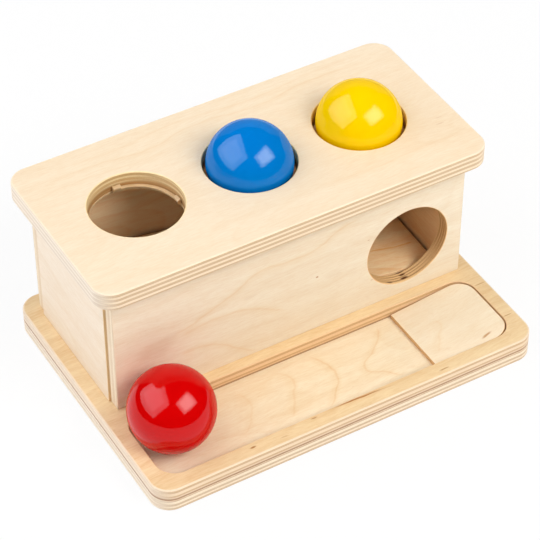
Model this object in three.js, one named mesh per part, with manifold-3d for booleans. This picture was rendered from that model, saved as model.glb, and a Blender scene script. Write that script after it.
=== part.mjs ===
// Ball drop box: a plywood box on a two-layer base. Balls sit in soft grip rings in the lid, are pushed
// through them on to a tilted floor inside, roll out of a round outlet and are caught in a tray in front.
// Millimetres, +Z up, +X towards the outlet, -Y towards the tray. The origin is under the base's middle.

import * as THREE from 'three';
import { mergeVertices } from 'three/addons/utils/BufferGeometryUtils.js';
import Module from 'manifold-3d';

// Balls
const BALL_D = 50;
const BALL_REST_GAP = 0.1;
const RED_BALL_BACK = 3.8;

// Plywood boards
const BOARD = 8;
const LID_T = 11.5;
const CORNER_R = 12;
const BOARD_EASE = 1;
const PANEL_EASE = 0.6;

// Box: its end panels stand a little to the left of flush with the ends of its long panels
const BOX_W = 227.5;
const BOX_D = 98.5;
const PANEL_H = 85.5;
const END_SHIFT = 1.3;

// Lid: how far it reaches past the box, and its row of holes
const LID_SIDE_REACH = 10.5;
const LID_FRONT_REACH = 10.5;
const LID_BACK_REACH = 9.2;
const HOLE_CLEARANCE = 2.1;
const HOLE_END_MARGIN = 5.35;

// Base and its tray
const BASE_LEFT_REACH = 10.75;
const BASE_RIGHT_REACH = 8.75;
const BASE_BACK_REACH = 9.5;
const TRAY_CLEARANCE = 2;
const TRAY_REAR_RIM = 7;
const TRAY_FRONT_RIM = 10;
const TRAY_SIDE_RIM = 9.2;
const TRAY_CORNER_R = 12;

// Landing wedge below the outlet
const WEDGE_L = 52;
const WEDGE_LOW_T = 2.4;
const WEDGE_TOP_DROP = 0.2;
const WEDGE_GAP = 0.7;

// Outlet in the front panel
const OUTLET_CLEARANCE = 2;
const OUTLET_SILL = 8.8;
const OUTLET_END_MARGIN = 1.05;

// Tilted floor inside the box, with its supports
const RAMP_T = 4.4;
const RAMP_FALL = 0.154;
const RAMP_LEAN = 0.053;
const RAMP_SILL_STEP = 0.2;
const RAMP_EDGE_GAP = 1.1;
const SUPPORT_GAP = 0.3;
const CLEAT_W = 10;
const CLEAT_H = 14;
const CLEAT_END_GAP = 4;
const RAIL_W = 8;
const RAIL_H = 8;
const RAIL_CLEAT_GAP = 2;
const RAIL_FOOT_GAP = 0.6;

// Grip rings under the lid's holes
const RING_FLANGE = 3;
const RING_SEAT = 1.5;
const RING_GAP = 0.25;
const RING_MOUTH = 0.3;
const LIP_H = 3.2;
const LIP_WALL = 1.1;
const LIP_REACH = 2.5;
const LIP_T = 0.8;
const LIP_SPAN = THREE.MathUtils.degToRad(88);
const LIP_COUNT = 2;
const NUB_BITE = 0.7;
const NUB_W = 4.8;
const NUB_FOOT_H = 3;
const NUB_TIP_H = 4.35;
const NUB_TOP_H = 5;
const NUB_TOP_L = 1;

// Wood screws up through the base
const SCREW_L = 40;
const SCREW_D = 3.5;
const SCREW_HEAD_D = 7;
const SCREW_HEAD_H = 2.3;
const SCREW_TIP_H = 5;
const SCREW_SLOT_L = 3.8;
const SCREW_SLOT_W = 0.9;
const SCREW_SLOT_H = 1.1;
const SCREW_SINK = 0.3;
const SCREW_GAP = 0.2;
const SCREW_FROM_END = 20;
const SCREW_FROM_OUTLET = 12;

// Dowels between the panels and the lid
const DOWEL_D = 4;
const DOWEL_L = 20;
const DOWEL_IN_LID = 6;
const DOWEL_CHAMFER = 0.5;
const DOWEL_GAP = 0.2;
const DOWEL_FROM_END = 26;

// Facets
const ROUND_STEPS = 48;
const CORNER_STEPS = 4;
const EASE_STEPS = 2;
const SMALL_STEPS = 12;
const BALL_STEPS = 36;
const LIP_STEPS = 8;
const CUT_OVERLAP = 1;
const MERGE_GAP = 1e-5;

// Finishes
const PALE_PLY = { color: 0xf3dfbc, roughness: 0.55 };
const PANEL_PLY = { color: 0xeed6b4, roughness: 0.55 };
const WARM_PLY = { color: 0xe9c896, roughness: 0.55 };
const SOFT_CREAM = { color: 0xe6d2b4, roughness: 0.6 };
const BEECH = { color: 0xd9b98c, roughness: 0.65 };
const ZINC = { color: 0xb9bcc0, roughness: 0.35, metalness: 1 };
const RED_LACQUER = { color: 0xd40a0a, roughness: 0.12 };
const BLUE_LACQUER = { color: 0x0a6cc8, roughness: 0.12 };
const YELLOW_LACQUER = { color: 0xf8cc05, roughness: 0.12 };

// Places that follow from the sizes above, with x measured from the middle of the box
const BALL_R = BALL_D / 2;
const HOLE_R = BALL_R + HOLE_CLEARANCE;
const OUTLET_R = BALL_R + OUTLET_CLEARANCE;
const INNER_LEFT = BOARD - BOX_W / 2 - END_SHIFT;
const INNER_RIGHT = BOX_W / 2 - BOARD - END_SHIFT;
const INNER_D = BOX_D - 2 * BOARD;
const HOLE_PITCH = INNER_RIGHT - HOLE_R - HOLE_END_MARGIN;
const LID_W = BOX_W + 2 * LID_SIDE_REACH;
const LID_D = BOX_D + LID_FRONT_REACH + LID_BACK_REACH;
const TRAY_D = BALL_D + TRAY_CLEARANCE;
const BASE_W = BASE_LEFT_REACH + BOX_W + BASE_RIGHT_REACH;
const BASE_D = BASE_BACK_REACH + BOX_D + TRAY_REAR_RIM + TRAY_D + TRAY_FRONT_RIM;
const BASE_MID_X = (BASE_RIGHT_REACH - BASE_LEFT_REACH) / 2;
const TRAY_W = BASE_W - 2 * TRAY_SIDE_RIM;
const BASE_TOP = 2 * BOARD;
const LID_UNDER = BASE_TOP + PANEL_H;
const BOX_BACK = BASE_D / 2 - BASE_BACK_REACH;
const BOX_FRONT = BOX_BACK - BOX_D;
const BOX_MID = (BOX_FRONT + BOX_BACK) / 2;
const LID_MID = BOX_MID + (LID_BACK_REACH - LID_FRONT_REACH) / 2;
const TRAY_FRONT = -BASE_D / 2 + TRAY_FRONT_RIM;
const TRAY_MID = TRAY_FRONT + TRAY_D / 2;
const OUTLET_X = INNER_RIGHT - OUTLET_R - OUTLET_END_MARGIN;
const OUTLET_H = OUTLET_SILL + OUTLET_R;

const wasm = await Module();
wasm.setup();

// A solid that can be joined and cut, from a closed geometry
function solidOf(geometry) {
  const bare = geometry.clone();
  bare.deleteAttribute('normal');
  bare.deleteAttribute('uv');
  const merged = mergeVertices(bare, MERGE_GAP);
  return new wasm.Manifold(new wasm.Mesh({
    numProp: 3,
    vertProperties: Float32Array.from(merged.attributes.position.array),
    triVerts: Uint32Array.from(merged.index.array),
  }));
}

// The flat-shaded geometry of a finished solid
function geometryOf(solid) {
  const { vertProperties, triVerts } = solid.getMesh();
  const shared = new THREE.BufferGeometry();
  shared.setAttribute('position', new THREE.BufferAttribute(vertProperties, 3));
  shared.setIndex(new THREE.BufferAttribute(triVerts, 1));
  const flat = shared.toNonIndexed();
  flat.computeVertexNormals();
  return flat;
}

// A named piece with a material of its own
function piece(name, solid, finish) {
  const mesh = new THREE.Mesh(geometryOf(solid), new THREE.MeshStandardMaterial(finish));
  mesh.name = name;
  return mesh;
}

// A block between two corners
function block(low, high) {
  const size = high.map((value, axis) => value - low[axis]);
  const geometry = new THREE.BoxGeometry(...size);
  geometry.translate(...low.map((value, axis) => value + size[axis] / 2));
  return solidOf(geometry);
}

// A block with upright sides whose floor and roof follow height functions of x and y
function slopedBlock(low, high, floor, roof) {
  const geometry = new THREE.BoxGeometry(high[0] - low[0], high[1] - low[1], 2);
  geometry.translate((low[0] + high[0]) / 2, (low[1] + high[1]) / 2, 0);
  const points = geometry.attributes.position;
  for (let i = 0; i < points.count; i += 1) {
    const height = points.getZ(i) > 0 ? roof : floor;
    points.setZ(i, height(points.getX(i), points.getY(i)));
  }
  return solidOf(geometry);
}

// A solid of revolution about Z from [radius, height] pairs that start and end on the axis
function turned(profile, steps) {
  const points = profile.map(([radius, height]) => new THREE.Vector2(radius, height));
  const geometry = new THREE.LatheGeometry(points, steps);
  geometry.rotateX(Math.PI / 2);
  return solidOf(geometry);
}

// A plain cylinder about Z between two heights
function rod(radius, bottom, top, steps) {
  return turned([[0, bottom], [radius, bottom], [radius, top], [0, top]], steps);
}

// A rectangle centred on the origin, with the same radius at each corner
function roundedRectangle(width, depth, radius) {
  const shape = new THREE.Shape();
  const x = width / 2 - radius;
  const y = depth / 2 - radius;
  shape.absarc(x, y, radius, 0, Math.PI / 2);
  shape.absarc(-x, y, radius, Math.PI / 2, Math.PI);
  shape.absarc(-x, -y, radius, Math.PI, Math.PI * 1.5);
  shape.absarc(x, -y, radius, Math.PI * 1.5, Math.PI * 2);
  shape.closePath();
  return shape;
}

// A round hole as a path of equal sides
function roundHole(x, y, radius) {
  const points = new THREE.EllipseCurve(x, y, radius, radius).getPoints(ROUND_STEPS);
  return new THREE.Path(points.slice(0, -1));
}

// A plain prism of an outline, standing on z = 0
function prism(outline, height) {
  const options = { depth: height, bevelEnabled: false, curveSegments: CORNER_STEPS };
  return solidOf(new THREE.ExtrudeGeometry(outline, options));
}

// A board on z = 0 with rounded arrises, each face's arris left sharp where its flag is false
function easedBoard(outline, thickness, ease, roundBelow = true, roundAbove = true) {
  const below = roundBelow ? 0 : ease;
  const above = roundAbove ? 0 : ease;
  const geometry = new THREE.ExtrudeGeometry(outline, {
    depth: thickness + below + above - 2 * ease,
    bevelThickness: ease,
    bevelSize: ease,
    bevelOffset: -ease,
    bevelSegments: EASE_STEPS,
    curveSegments: CORNER_STEPS,
  });
  geometry.translate(0, 0, ease - below);
  const solid = solidOf(geometry);
  const slab = block([-BASE_W, -BASE_D, 0], [BASE_W, BASE_D, thickness]);
  return roundBelow && roundAbove ? solid : solid.intersect(slab);
}

// Plan places of the screws and of the dowels, both on the middle lines of the panels
const FRONT_LINE = BOX_FRONT + BOARD / 2;
const BACK_LINE = BOX_BACK - BOARD / 2;
const LEFT_LINE = INNER_LEFT - BOARD / 2;
const RIGHT_LINE = INNER_RIGHT + BOARD / 2;
const SCREW_X = BOX_W / 2 - SCREW_FROM_END;
const SCREW_X_BY_OUTLET = OUTLET_X - OUTLET_R - SCREW_FROM_OUTLET;
const DOWEL_X = BOX_W / 2 - DOWEL_FROM_END;

const SCREW_SPOTS = {
  base_screw_front_left: [-SCREW_X, FRONT_LINE],
  base_screw_front_right: [SCREW_X_BY_OUTLET, FRONT_LINE],
  base_screw_back_left: [-SCREW_X, BACK_LINE],
  base_screw_back_right: [SCREW_X, BACK_LINE],
  base_screw_end_left: [LEFT_LINE, BOX_MID],
  base_screw_end_right: [RIGHT_LINE, BOX_MID],
};

const DOWEL_SPOTS = {
  lid_dowel_front_left: [-DOWEL_X, FRONT_LINE],
  lid_dowel_front_right: [DOWEL_X, FRONT_LINE],
  lid_dowel_back_left: [-DOWEL_X, BACK_LINE],
  lid_dowel_back_right: [DOWEL_X, BACK_LINE],
  lid_dowel_end_left: [LEFT_LINE, BOX_MID],
  lid_dowel_end_right: [RIGHT_LINE, BOX_MID],
};

const SCREW_HOLE_R = SCREW_D / 2 + SCREW_GAP;
const DOWEL_HOLE_R = DOWEL_D / 2 + DOWEL_GAP;

// Cuts the screws' and the dowels' holes into a solid that stands in the object's own frame
function drilled(solid) {
  let result = solid;
  for (const [x, y] of Object.values(SCREW_SPOTS)) {
    const bore = rod(SCREW_HOLE_R, SCREW_SINK, SCREW_SINK + SCREW_L + SCREW_GAP, SMALL_STEPS);
    result = result.subtract(bore.translate([x, y, 0]));
  }
  for (const [x, y] of Object.values(DOWEL_SPOTS)) {
    const top = LID_UNDER + DOWEL_IN_LID + DOWEL_GAP;
    const bore = rod(DOWEL_HOLE_R, top - DOWEL_L - 2 * DOWEL_GAP, top, SMALL_STEPS);
    result = result.subtract(bore.translate([x, y, 0]));
  }
  return result;
}

// Lower layer of the base, countersunk for the screws
function baseBoard() {
  const outline = roundedRectangle(BASE_W, BASE_D, CORNER_R);
  const board = easedBoard(outline, BOARD, BOARD_EASE, true, false);
  let solid = drilled(board.translate([BASE_MID_X, 0, 0]));
  const mouth = SCREW_HEAD_D / 2 + SCREW_GAP;
  const rim = SCREW_SINK + SCREW_GAP;
  const countersink = turned([
    [0, -CUT_OVERLAP],
    [mouth, -CUT_OVERLAP],
    [mouth, rim],
    [SCREW_HOLE_R, rim + SCREW_HEAD_H],
    [0, rim + SCREW_HEAD_H],
  ], SMALL_STEPS);
  for (const [x, y] of Object.values(SCREW_SPOTS)) {
    solid = solid.subtract(countersink.translate([x, y, 0]));
  }
  return piece('base_board', solid, WARM_PLY);
}

// Upper layer of the base, cut right through for the tray
function trayFrame() {
  const outline = roundedRectangle(BASE_W, BASE_D, CORNER_R);
  const board = easedBoard(outline, BOARD, BOARD_EASE, false, true);
  const tray = prism(roundedRectangle(TRAY_W, TRAY_D, TRAY_CORNER_R), BOARD + 2 * CUT_OVERLAP);
  const open = board.subtract(tray.translate([0, TRAY_MID, -CUT_OVERLAP]));
  return piece('tray_frame', drilled(open.translate([BASE_MID_X, 0, BOARD])), WARM_PLY);
}

// Wedge in the tray's outlet end: level with the rim there, low towards the middle of the tray
function landingWedge() {
  const right = TRAY_W / 2 - WEDGE_GAP;
  const left = TRAY_W / 2 - WEDGE_L;
  const plan = prism(roundedRectangle(2 * right, TRAY_D - 2 * WEDGE_GAP, TRAY_CORNER_R - WEDGE_GAP), BOARD);
  const rise = (BOARD - WEDGE_TOP_DROP - WEDGE_LOW_T) / WEDGE_L;
  const slope = slopedBlock(
    [left, -TRAY_D],
    [right + CUT_OVERLAP, TRAY_D],
    () => -CUT_OVERLAP,
    (x) => WEDGE_LOW_T + rise * (x - left),
  );
  const mesh = piece('landing_wedge', plan.intersect(slope), PALE_PLY);
  mesh.position.set(BASE_MID_X, TRAY_MID, BOARD);
  return mesh;
}

// An upright panel: the outline is drawn with its foot on y = 0 and stood up on the base
function uprightPanel(outline, turn, x, y) {
  const stand = new THREE.Matrix4().makeRotationX(Math.PI / 2);
  const place = new THREE.Matrix4().makeRotationZ(turn).setPosition(x, y, BASE_TOP);
  const solid = easedBoard(outline, BOARD, PANEL_EASE).translate([0, 0, -BOARD / 2]);
  return drilled(solidOf(geometryOf(solid).applyMatrix4(place.multiply(stand))));
}

// A plain rectangle with its foot on y = 0
function panelOutline(length) {
  const shape = new THREE.Shape();
  shape.moveTo(-length / 2, 0);
  shape.lineTo(length / 2, 0);
  shape.lineTo(length / 2, PANEL_H);
  shape.lineTo(-length / 2, PANEL_H);
  shape.closePath();
  return shape;
}

// The four walls: two end panels between long front and back panels
function walls() {
  const group = new THREE.Group();
  const front = panelOutline(BOX_W);
  front.holes.push(roundHole(OUTLET_X, OUTLET_H, OUTLET_R));
  group.add(piece('front_panel', uprightPanel(front, 0, 0, FRONT_LINE), PANEL_PLY));
  group.add(piece('back_panel', uprightPanel(panelOutline(BOX_W), 0, 0, BACK_LINE), PANEL_PLY));
  const end = panelOutline(INNER_D);
  group.add(piece('left_end_panel', uprightPanel(end, Math.PI / 2, LEFT_LINE, BOX_MID), PANEL_PLY));
  group.add(piece('right_end_panel', uprightPanel(end, Math.PI / 2, RIGHT_LINE, BOX_MID), PANEL_PLY));
  return group;
}

// Height of the tilted floor: it falls towards the outlet's end and leans towards the front panel
function rampTop(x, y) {
  const sill = BASE_TOP + OUTLET_SILL + RAMP_SILL_STEP;
  return sill + RAMP_FALL * (OUTLET_X - x) + RAMP_LEAN * (y - BOX_FRONT - BOARD);
}

// Tilted floor, its cleat on the left end panel and its rail along the back panel
function rampParts() {
  const group = new THREE.Group();
  const left = INNER_LEFT;
  const front = BOX_FRONT + BOARD;
  const back = BOX_BACK - BOARD;
  const rampUnder = (x, y) => rampTop(x, y) - RAMP_T;
  const seat = (x, y) => rampUnder(x, y) - SUPPORT_GAP;

  const rampLow = [left + RAMP_EDGE_GAP, front + RAMP_EDGE_GAP];
  const rampHigh = [INNER_RIGHT - RAMP_EDGE_GAP, back - RAMP_EDGE_GAP];
  group.add(piece('inner_ramp', slopedBlock(rampLow, rampHigh, rampUnder, rampTop), PALE_PLY));

  const cleatFloor = seat(left, front) - CLEAT_H;
  const cleatLow = [left, front + CLEAT_END_GAP];
  const cleatHigh = [left + CLEAT_W, back - CLEAT_END_GAP];
  group.add(piece('ramp_cleat', slopedBlock(cleatLow, cleatHigh, () => cleatFloor, seat), BEECH));

  const railStart = left + CLEAT_W + RAIL_CLEAT_GAP;
  const spareHeight = seat(railStart, back - RAIL_W) - RAIL_H - BASE_TOP - RAIL_FOOT_GAP;
  const railLow = [railStart, back - RAIL_W];
  const railHigh = [Math.min(railStart + spareHeight / RAMP_FALL, INNER_RIGHT - RAIL_CLEAT_GAP), back];
  const railFloor = (x, y) => seat(x, y) - RAIL_H;
  group.add(piece('ramp_rail', slopedBlock(railLow, railHigh, railFloor, seat), BEECH));
  return group;
}

// Lid with its round holes, each rebated from below for a grip ring
function lid() {
  const outline = roundedRectangle(LID_W, LID_D, CORNER_R);
  for (const spot of [-1, 0, 1]) {
    outline.holes.push(roundHole(spot * HOLE_PITCH, 0, HOLE_R));
  }
  let solid = easedBoard(outline, LID_T, BOARD_EASE);
  for (const spot of [-1, 0, 1]) {
    const rebate = rod(HOLE_R + RING_FLANGE, -CUT_OVERLAP, RING_SEAT, ROUND_STEPS);
    solid = solid.subtract(rebate.translate([spot * HOLE_PITCH, 0, 0]));
  }
  return piece('lid', drilled(solid.translate([0, LID_MID, LID_UNDER])), PALE_PLY);
}

// Outline of a sector between two radii
function sector(inner, outer, start, span) {
  const shape = new THREE.Shape();
  shape.absarc(0, 0, outer, start, start + span);
  shape.absarc(0, 0, inner, start + span, start, true);
  shape.closePath();
  return shape;
}

// A nub with a slanted top that a ball rests on, along +X from the ring's middle
function gripNub() {
  const tip = BALL_R - NUB_BITE;
  const heel = HOLE_R - 2 * RING_GAP;
  const side = new THREE.Shape();
  side.moveTo(tip, NUB_FOOT_H);
  side.lineTo(HOLE_R - LIP_WALL, 0);
  side.lineTo(heel, 0);
  side.lineTo(heel, NUB_TOP_H);
  side.lineTo(heel - NUB_TOP_L, NUB_TOP_H);
  side.lineTo(tip, NUB_TIP_H);
  side.closePath();
  return prism(side, NUB_W).translate([0, 0, -NUB_W / 2]).rotate([90, 0, 0]);
}

// Part of a lip: a sector between two radii, up to a height
function lipSector(inner, outer, start, height) {
  const options = { depth: height, bevelEnabled: false, curveSegments: LIP_STEPS };
  const outline = sector(inner, outer, start, LIP_SPAN);
  return solidOf(new THREE.ExtrudeGeometry(outline, options));
}

// Soft grip ring: a flange in the lid's rebate, and two lips that stand up in the hole, each with a thin collar
// that reaches in at its top and a nub at each end
function gripRing(name) {
  const height = RING_SEAT - RING_GAP;
  const flange = new THREE.Shape(roundHole(0, 0, HOLE_R + RING_FLANGE - RING_GAP).getPoints());
  flange.holes.push(roundHole(0, 0, HOLE_R - RING_MOUTH));
  let solid = prism(flange, height);
  for (let turn = 0; turn < LIP_COUNT; turn += 1) {
    const start = (turn * 2 * Math.PI) / LIP_COUNT;
    const collar = lipSector(HOLE_R - LIP_REACH, HOLE_R - RING_GAP, start, LIP_T);
    solid = solid.add(lipSector(HOLE_R - LIP_WALL, HOLE_R + RING_MOUTH, start, height));
    solid = solid.add(lipSector(HOLE_R - LIP_WALL, HOLE_R - RING_GAP, start, LIP_H));
    solid = solid.add(collar.translate([0, 0, LIP_H - LIP_T]));
    for (const angle of [start, start + LIP_SPAN]) {
      solid = solid.add(gripNub().rotate([0, 0, THREE.MathUtils.radToDeg(angle)]));
    }
  }
  return piece(name, solid, SOFT_CREAM);
}

// A turned wooden ball
function ball(name, finish) {
  const geometry = new THREE.SphereGeometry(BALL_R, BALL_STEPS, BALL_STEPS / 2);
  geometry.rotateX(Math.PI / 2);
  return piece(name, solidOf(geometry), finish);
}

// Height of a ball's middle over the lid's underside when it rests on the nubs of a ring
const BALL_SEAT = NUB_TIP_H + Math.sqrt(BALL_R ** 2 - (BALL_R - NUB_BITE) ** 2) + BALL_REST_GAP;

// Three grip rings under the lid, two balls held in them and one ball that has rolled out into the tray
function ballsAndRings() {
  const group = new THREE.Group();
  const stations = { left: -1, middle: 0, right: 1 };
  for (const [side, spot] of Object.entries(stations)) {
    const ring = gripRing(`grip_ring_${side}`);
    ring.position.set(spot * HOLE_PITCH, LID_MID, LID_UNDER);
    group.add(ring);
  }
  const blue = ball('blue_ball', BLUE_LACQUER);
  blue.position.set(stations.middle * HOLE_PITCH, LID_MID, LID_UNDER + BALL_SEAT);
  const yellow = ball('yellow_ball', YELLOW_LACQUER);
  yellow.position.set(stations.right * HOLE_PITCH, LID_MID, LID_UNDER + BALL_SEAT);
  const red = ball('red_ball', RED_LACQUER);
  const rimReach = Math.sqrt(BALL_R ** 2 - (BALL_R - BOARD) ** 2);
  const redX = BASE_MID_X - TRAY_W / 2 + rimReach + TRAY_CLEARANCE;
  red.position.set(redX, TRAY_MID + RED_BALL_BACK, BOARD + BALL_R + BALL_REST_GAP);
  group.add(blue, yellow, red);
  return group;
}

// Countersunk wood screw with a crossed recess, point upwards
function baseScrew(name, [x, y]) {
  const shank = SCREW_D / 2;
  let solid = turned([
    [0, 0],
    [SCREW_HEAD_D / 2, 0],
    [shank, SCREW_HEAD_H],
    [shank, SCREW_L - SCREW_TIP_H],
    [0, SCREW_L],
  ], SMALL_STEPS);
  const arm = SCREW_SLOT_L / 2;
  const half = SCREW_SLOT_W / 2;
  solid = solid.subtract(block([-arm, -half, -CUT_OVERLAP], [arm, half, SCREW_SLOT_H]));
  solid = solid.subtract(block([-half, -arm, -CUT_OVERLAP], [half, arm, SCREW_SLOT_H]));
  const mesh = piece(name, solid, ZINC);
  mesh.position.set(x, y, SCREW_SINK);
  return mesh;
}

// Chamfered dowel, part in a panel and part in the lid
function lidDowel(name, [x, y]) {
  const radius = DOWEL_D / 2;
  const solid = turned([
    [0, 0],
    [radius - DOWEL_CHAMFER, 0],
    [radius, DOWEL_CHAMFER],
    [radius, DOWEL_L - DOWEL_CHAMFER],
    [radius - DOWEL_CHAMFER, DOWEL_L],
    [0, DOWEL_L],
  ], SMALL_STEPS);
  const mesh = piece(name, solid, BEECH);
  mesh.position.set(x, y, LID_UNDER + DOWEL_IN_LID - DOWEL_L);
  return mesh;
}

const base = new THREE.Group();
base.add(baseBoard(), trayFrame(), landingWedge());

const fasteners = new THREE.Group();
for (const [name, spot] of Object.entries(SCREW_SPOTS)) {
  fasteners.add(baseScrew(name, spot));
}
for (const [name, spot] of Object.entries(DOWEL_SPOTS)) {
  fasteners.add(lidDowel(name, spot));
}

const ballDropBox = new THREE.Group();
ballDropBox.add(base, walls(), rampParts(), lid(), ballsAndRings(), fasteners);
ballDropBox.position.x = -BASE_MID_X;

export default ballDropBox;
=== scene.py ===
"""Dresses the ball drop box: plywood boards, soft grip rings, lacquered balls and a small photo studio."""

import logging
import math
from collections.abc import Sequence
from dataclasses import dataclass, field, replace
from enum import Enum
from functools import partial, reduce
from typing import Protocol

import bmesh
import bpy
from bmesh.types import BMEdge, BMesh, BMFace, BMVert
from mathutils import Matrix, Vector


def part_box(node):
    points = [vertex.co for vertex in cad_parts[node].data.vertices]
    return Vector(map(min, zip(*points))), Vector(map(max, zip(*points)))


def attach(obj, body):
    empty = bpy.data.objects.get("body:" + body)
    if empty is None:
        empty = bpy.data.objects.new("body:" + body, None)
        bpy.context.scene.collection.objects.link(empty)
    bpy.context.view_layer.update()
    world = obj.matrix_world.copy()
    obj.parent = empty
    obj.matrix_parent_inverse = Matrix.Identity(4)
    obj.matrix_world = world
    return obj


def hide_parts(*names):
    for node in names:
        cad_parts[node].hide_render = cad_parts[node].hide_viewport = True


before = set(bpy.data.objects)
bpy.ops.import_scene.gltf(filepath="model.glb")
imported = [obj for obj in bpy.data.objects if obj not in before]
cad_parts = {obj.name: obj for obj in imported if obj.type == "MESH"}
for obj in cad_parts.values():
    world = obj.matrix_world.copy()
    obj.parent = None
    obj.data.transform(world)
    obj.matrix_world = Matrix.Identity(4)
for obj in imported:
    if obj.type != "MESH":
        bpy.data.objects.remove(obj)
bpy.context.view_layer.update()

LOG = logging.getLogger("ball_drop_box")

MM = 0.001
BOX_BODY = "box"

# Places of the screws and the dowels, as the names of their nodes end
FIXINGS = ("front_left", "front_right", "back_left", "back_right", "end_left", "end_right")

# Steps in an arris, in a rounded corner and in a whole round
ARRIS_STEPS = 4
CORNER_STEPS = 24
ROUND_STEPS = 144

# Turn of a sharp edge, upright share of a level face's normal, and weight of flat faces in even normals
SHARP_TURN = math.radians(50)
LEVEL_NORMAL = 0.9
FLAT_WEIGHT = 80

# Numbers of a board's materials
FACE = 0
EDGE = 1
BORE = 2

Colour = tuple[float, float, float]
Pair = tuple[float, float]
Socket = bpy.types.NodeSocket
Value = float | Sequence[float] | Socket

WHITE: Colour = (1.0, 1.0, 1.0)


def shade(red: float, green: float, blue: float) -> Colour:
    """Turns a colour of 0 to 255 as a screen shows it into the linear values of a shader.

    Args:
        red: Share of red, 0 to 255.
        green: Share of green, 0 to 255.
        blue: Share of blue, 0 to 255.

    Returns:
        The colour in linear values of 0 to 1.
    """
    def linear(level: float) -> float:
        """Straightens one channel."""
        part = level / 255
        return part / 12.92 if part <= 0.04045 else ((part + 0.055) / 1.055) ** 2.4

    return linear(red), linear(green), linear(blue)


class Stand(Enum):
    """How a board stands: the axes that run along its grain, across the grain and through its plies."""

    FLAT = "XYZ"
    ACROSS = "XZY"
    ENDWISE = "YZX"

    @property
    def order(self) -> tuple[int, int, int]:
        """Gives the numbers of the axes along, across and through the board."""
        along, across, through = ("XYZ".index(letter) for letter in self.value)
        return along, across, through

    def lay(self, point: Vector) -> Vector:
        """Gives a point of the frame as places along, across and through the board."""
        return Vector([point[axis] for axis in self.order])

    def raise_up(self) -> Matrix:
        """Gives the matrix that stands up a board drawn as places along, across and through it.

        Returns:
            The matrix.
        """
        turn = Matrix(((0.0,) * 4,) * 3 + ((0.0, 0.0, 0.0, 1.0),))
        for column, axis in enumerate(self.order):
            turn[axis][column] = 1.0
        return turn


class Ease(Enum):
    """How the levels of a ramp join between its stops."""

    STRAIGHT = "LINEAR"
    SOFT = "EASE"


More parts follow.
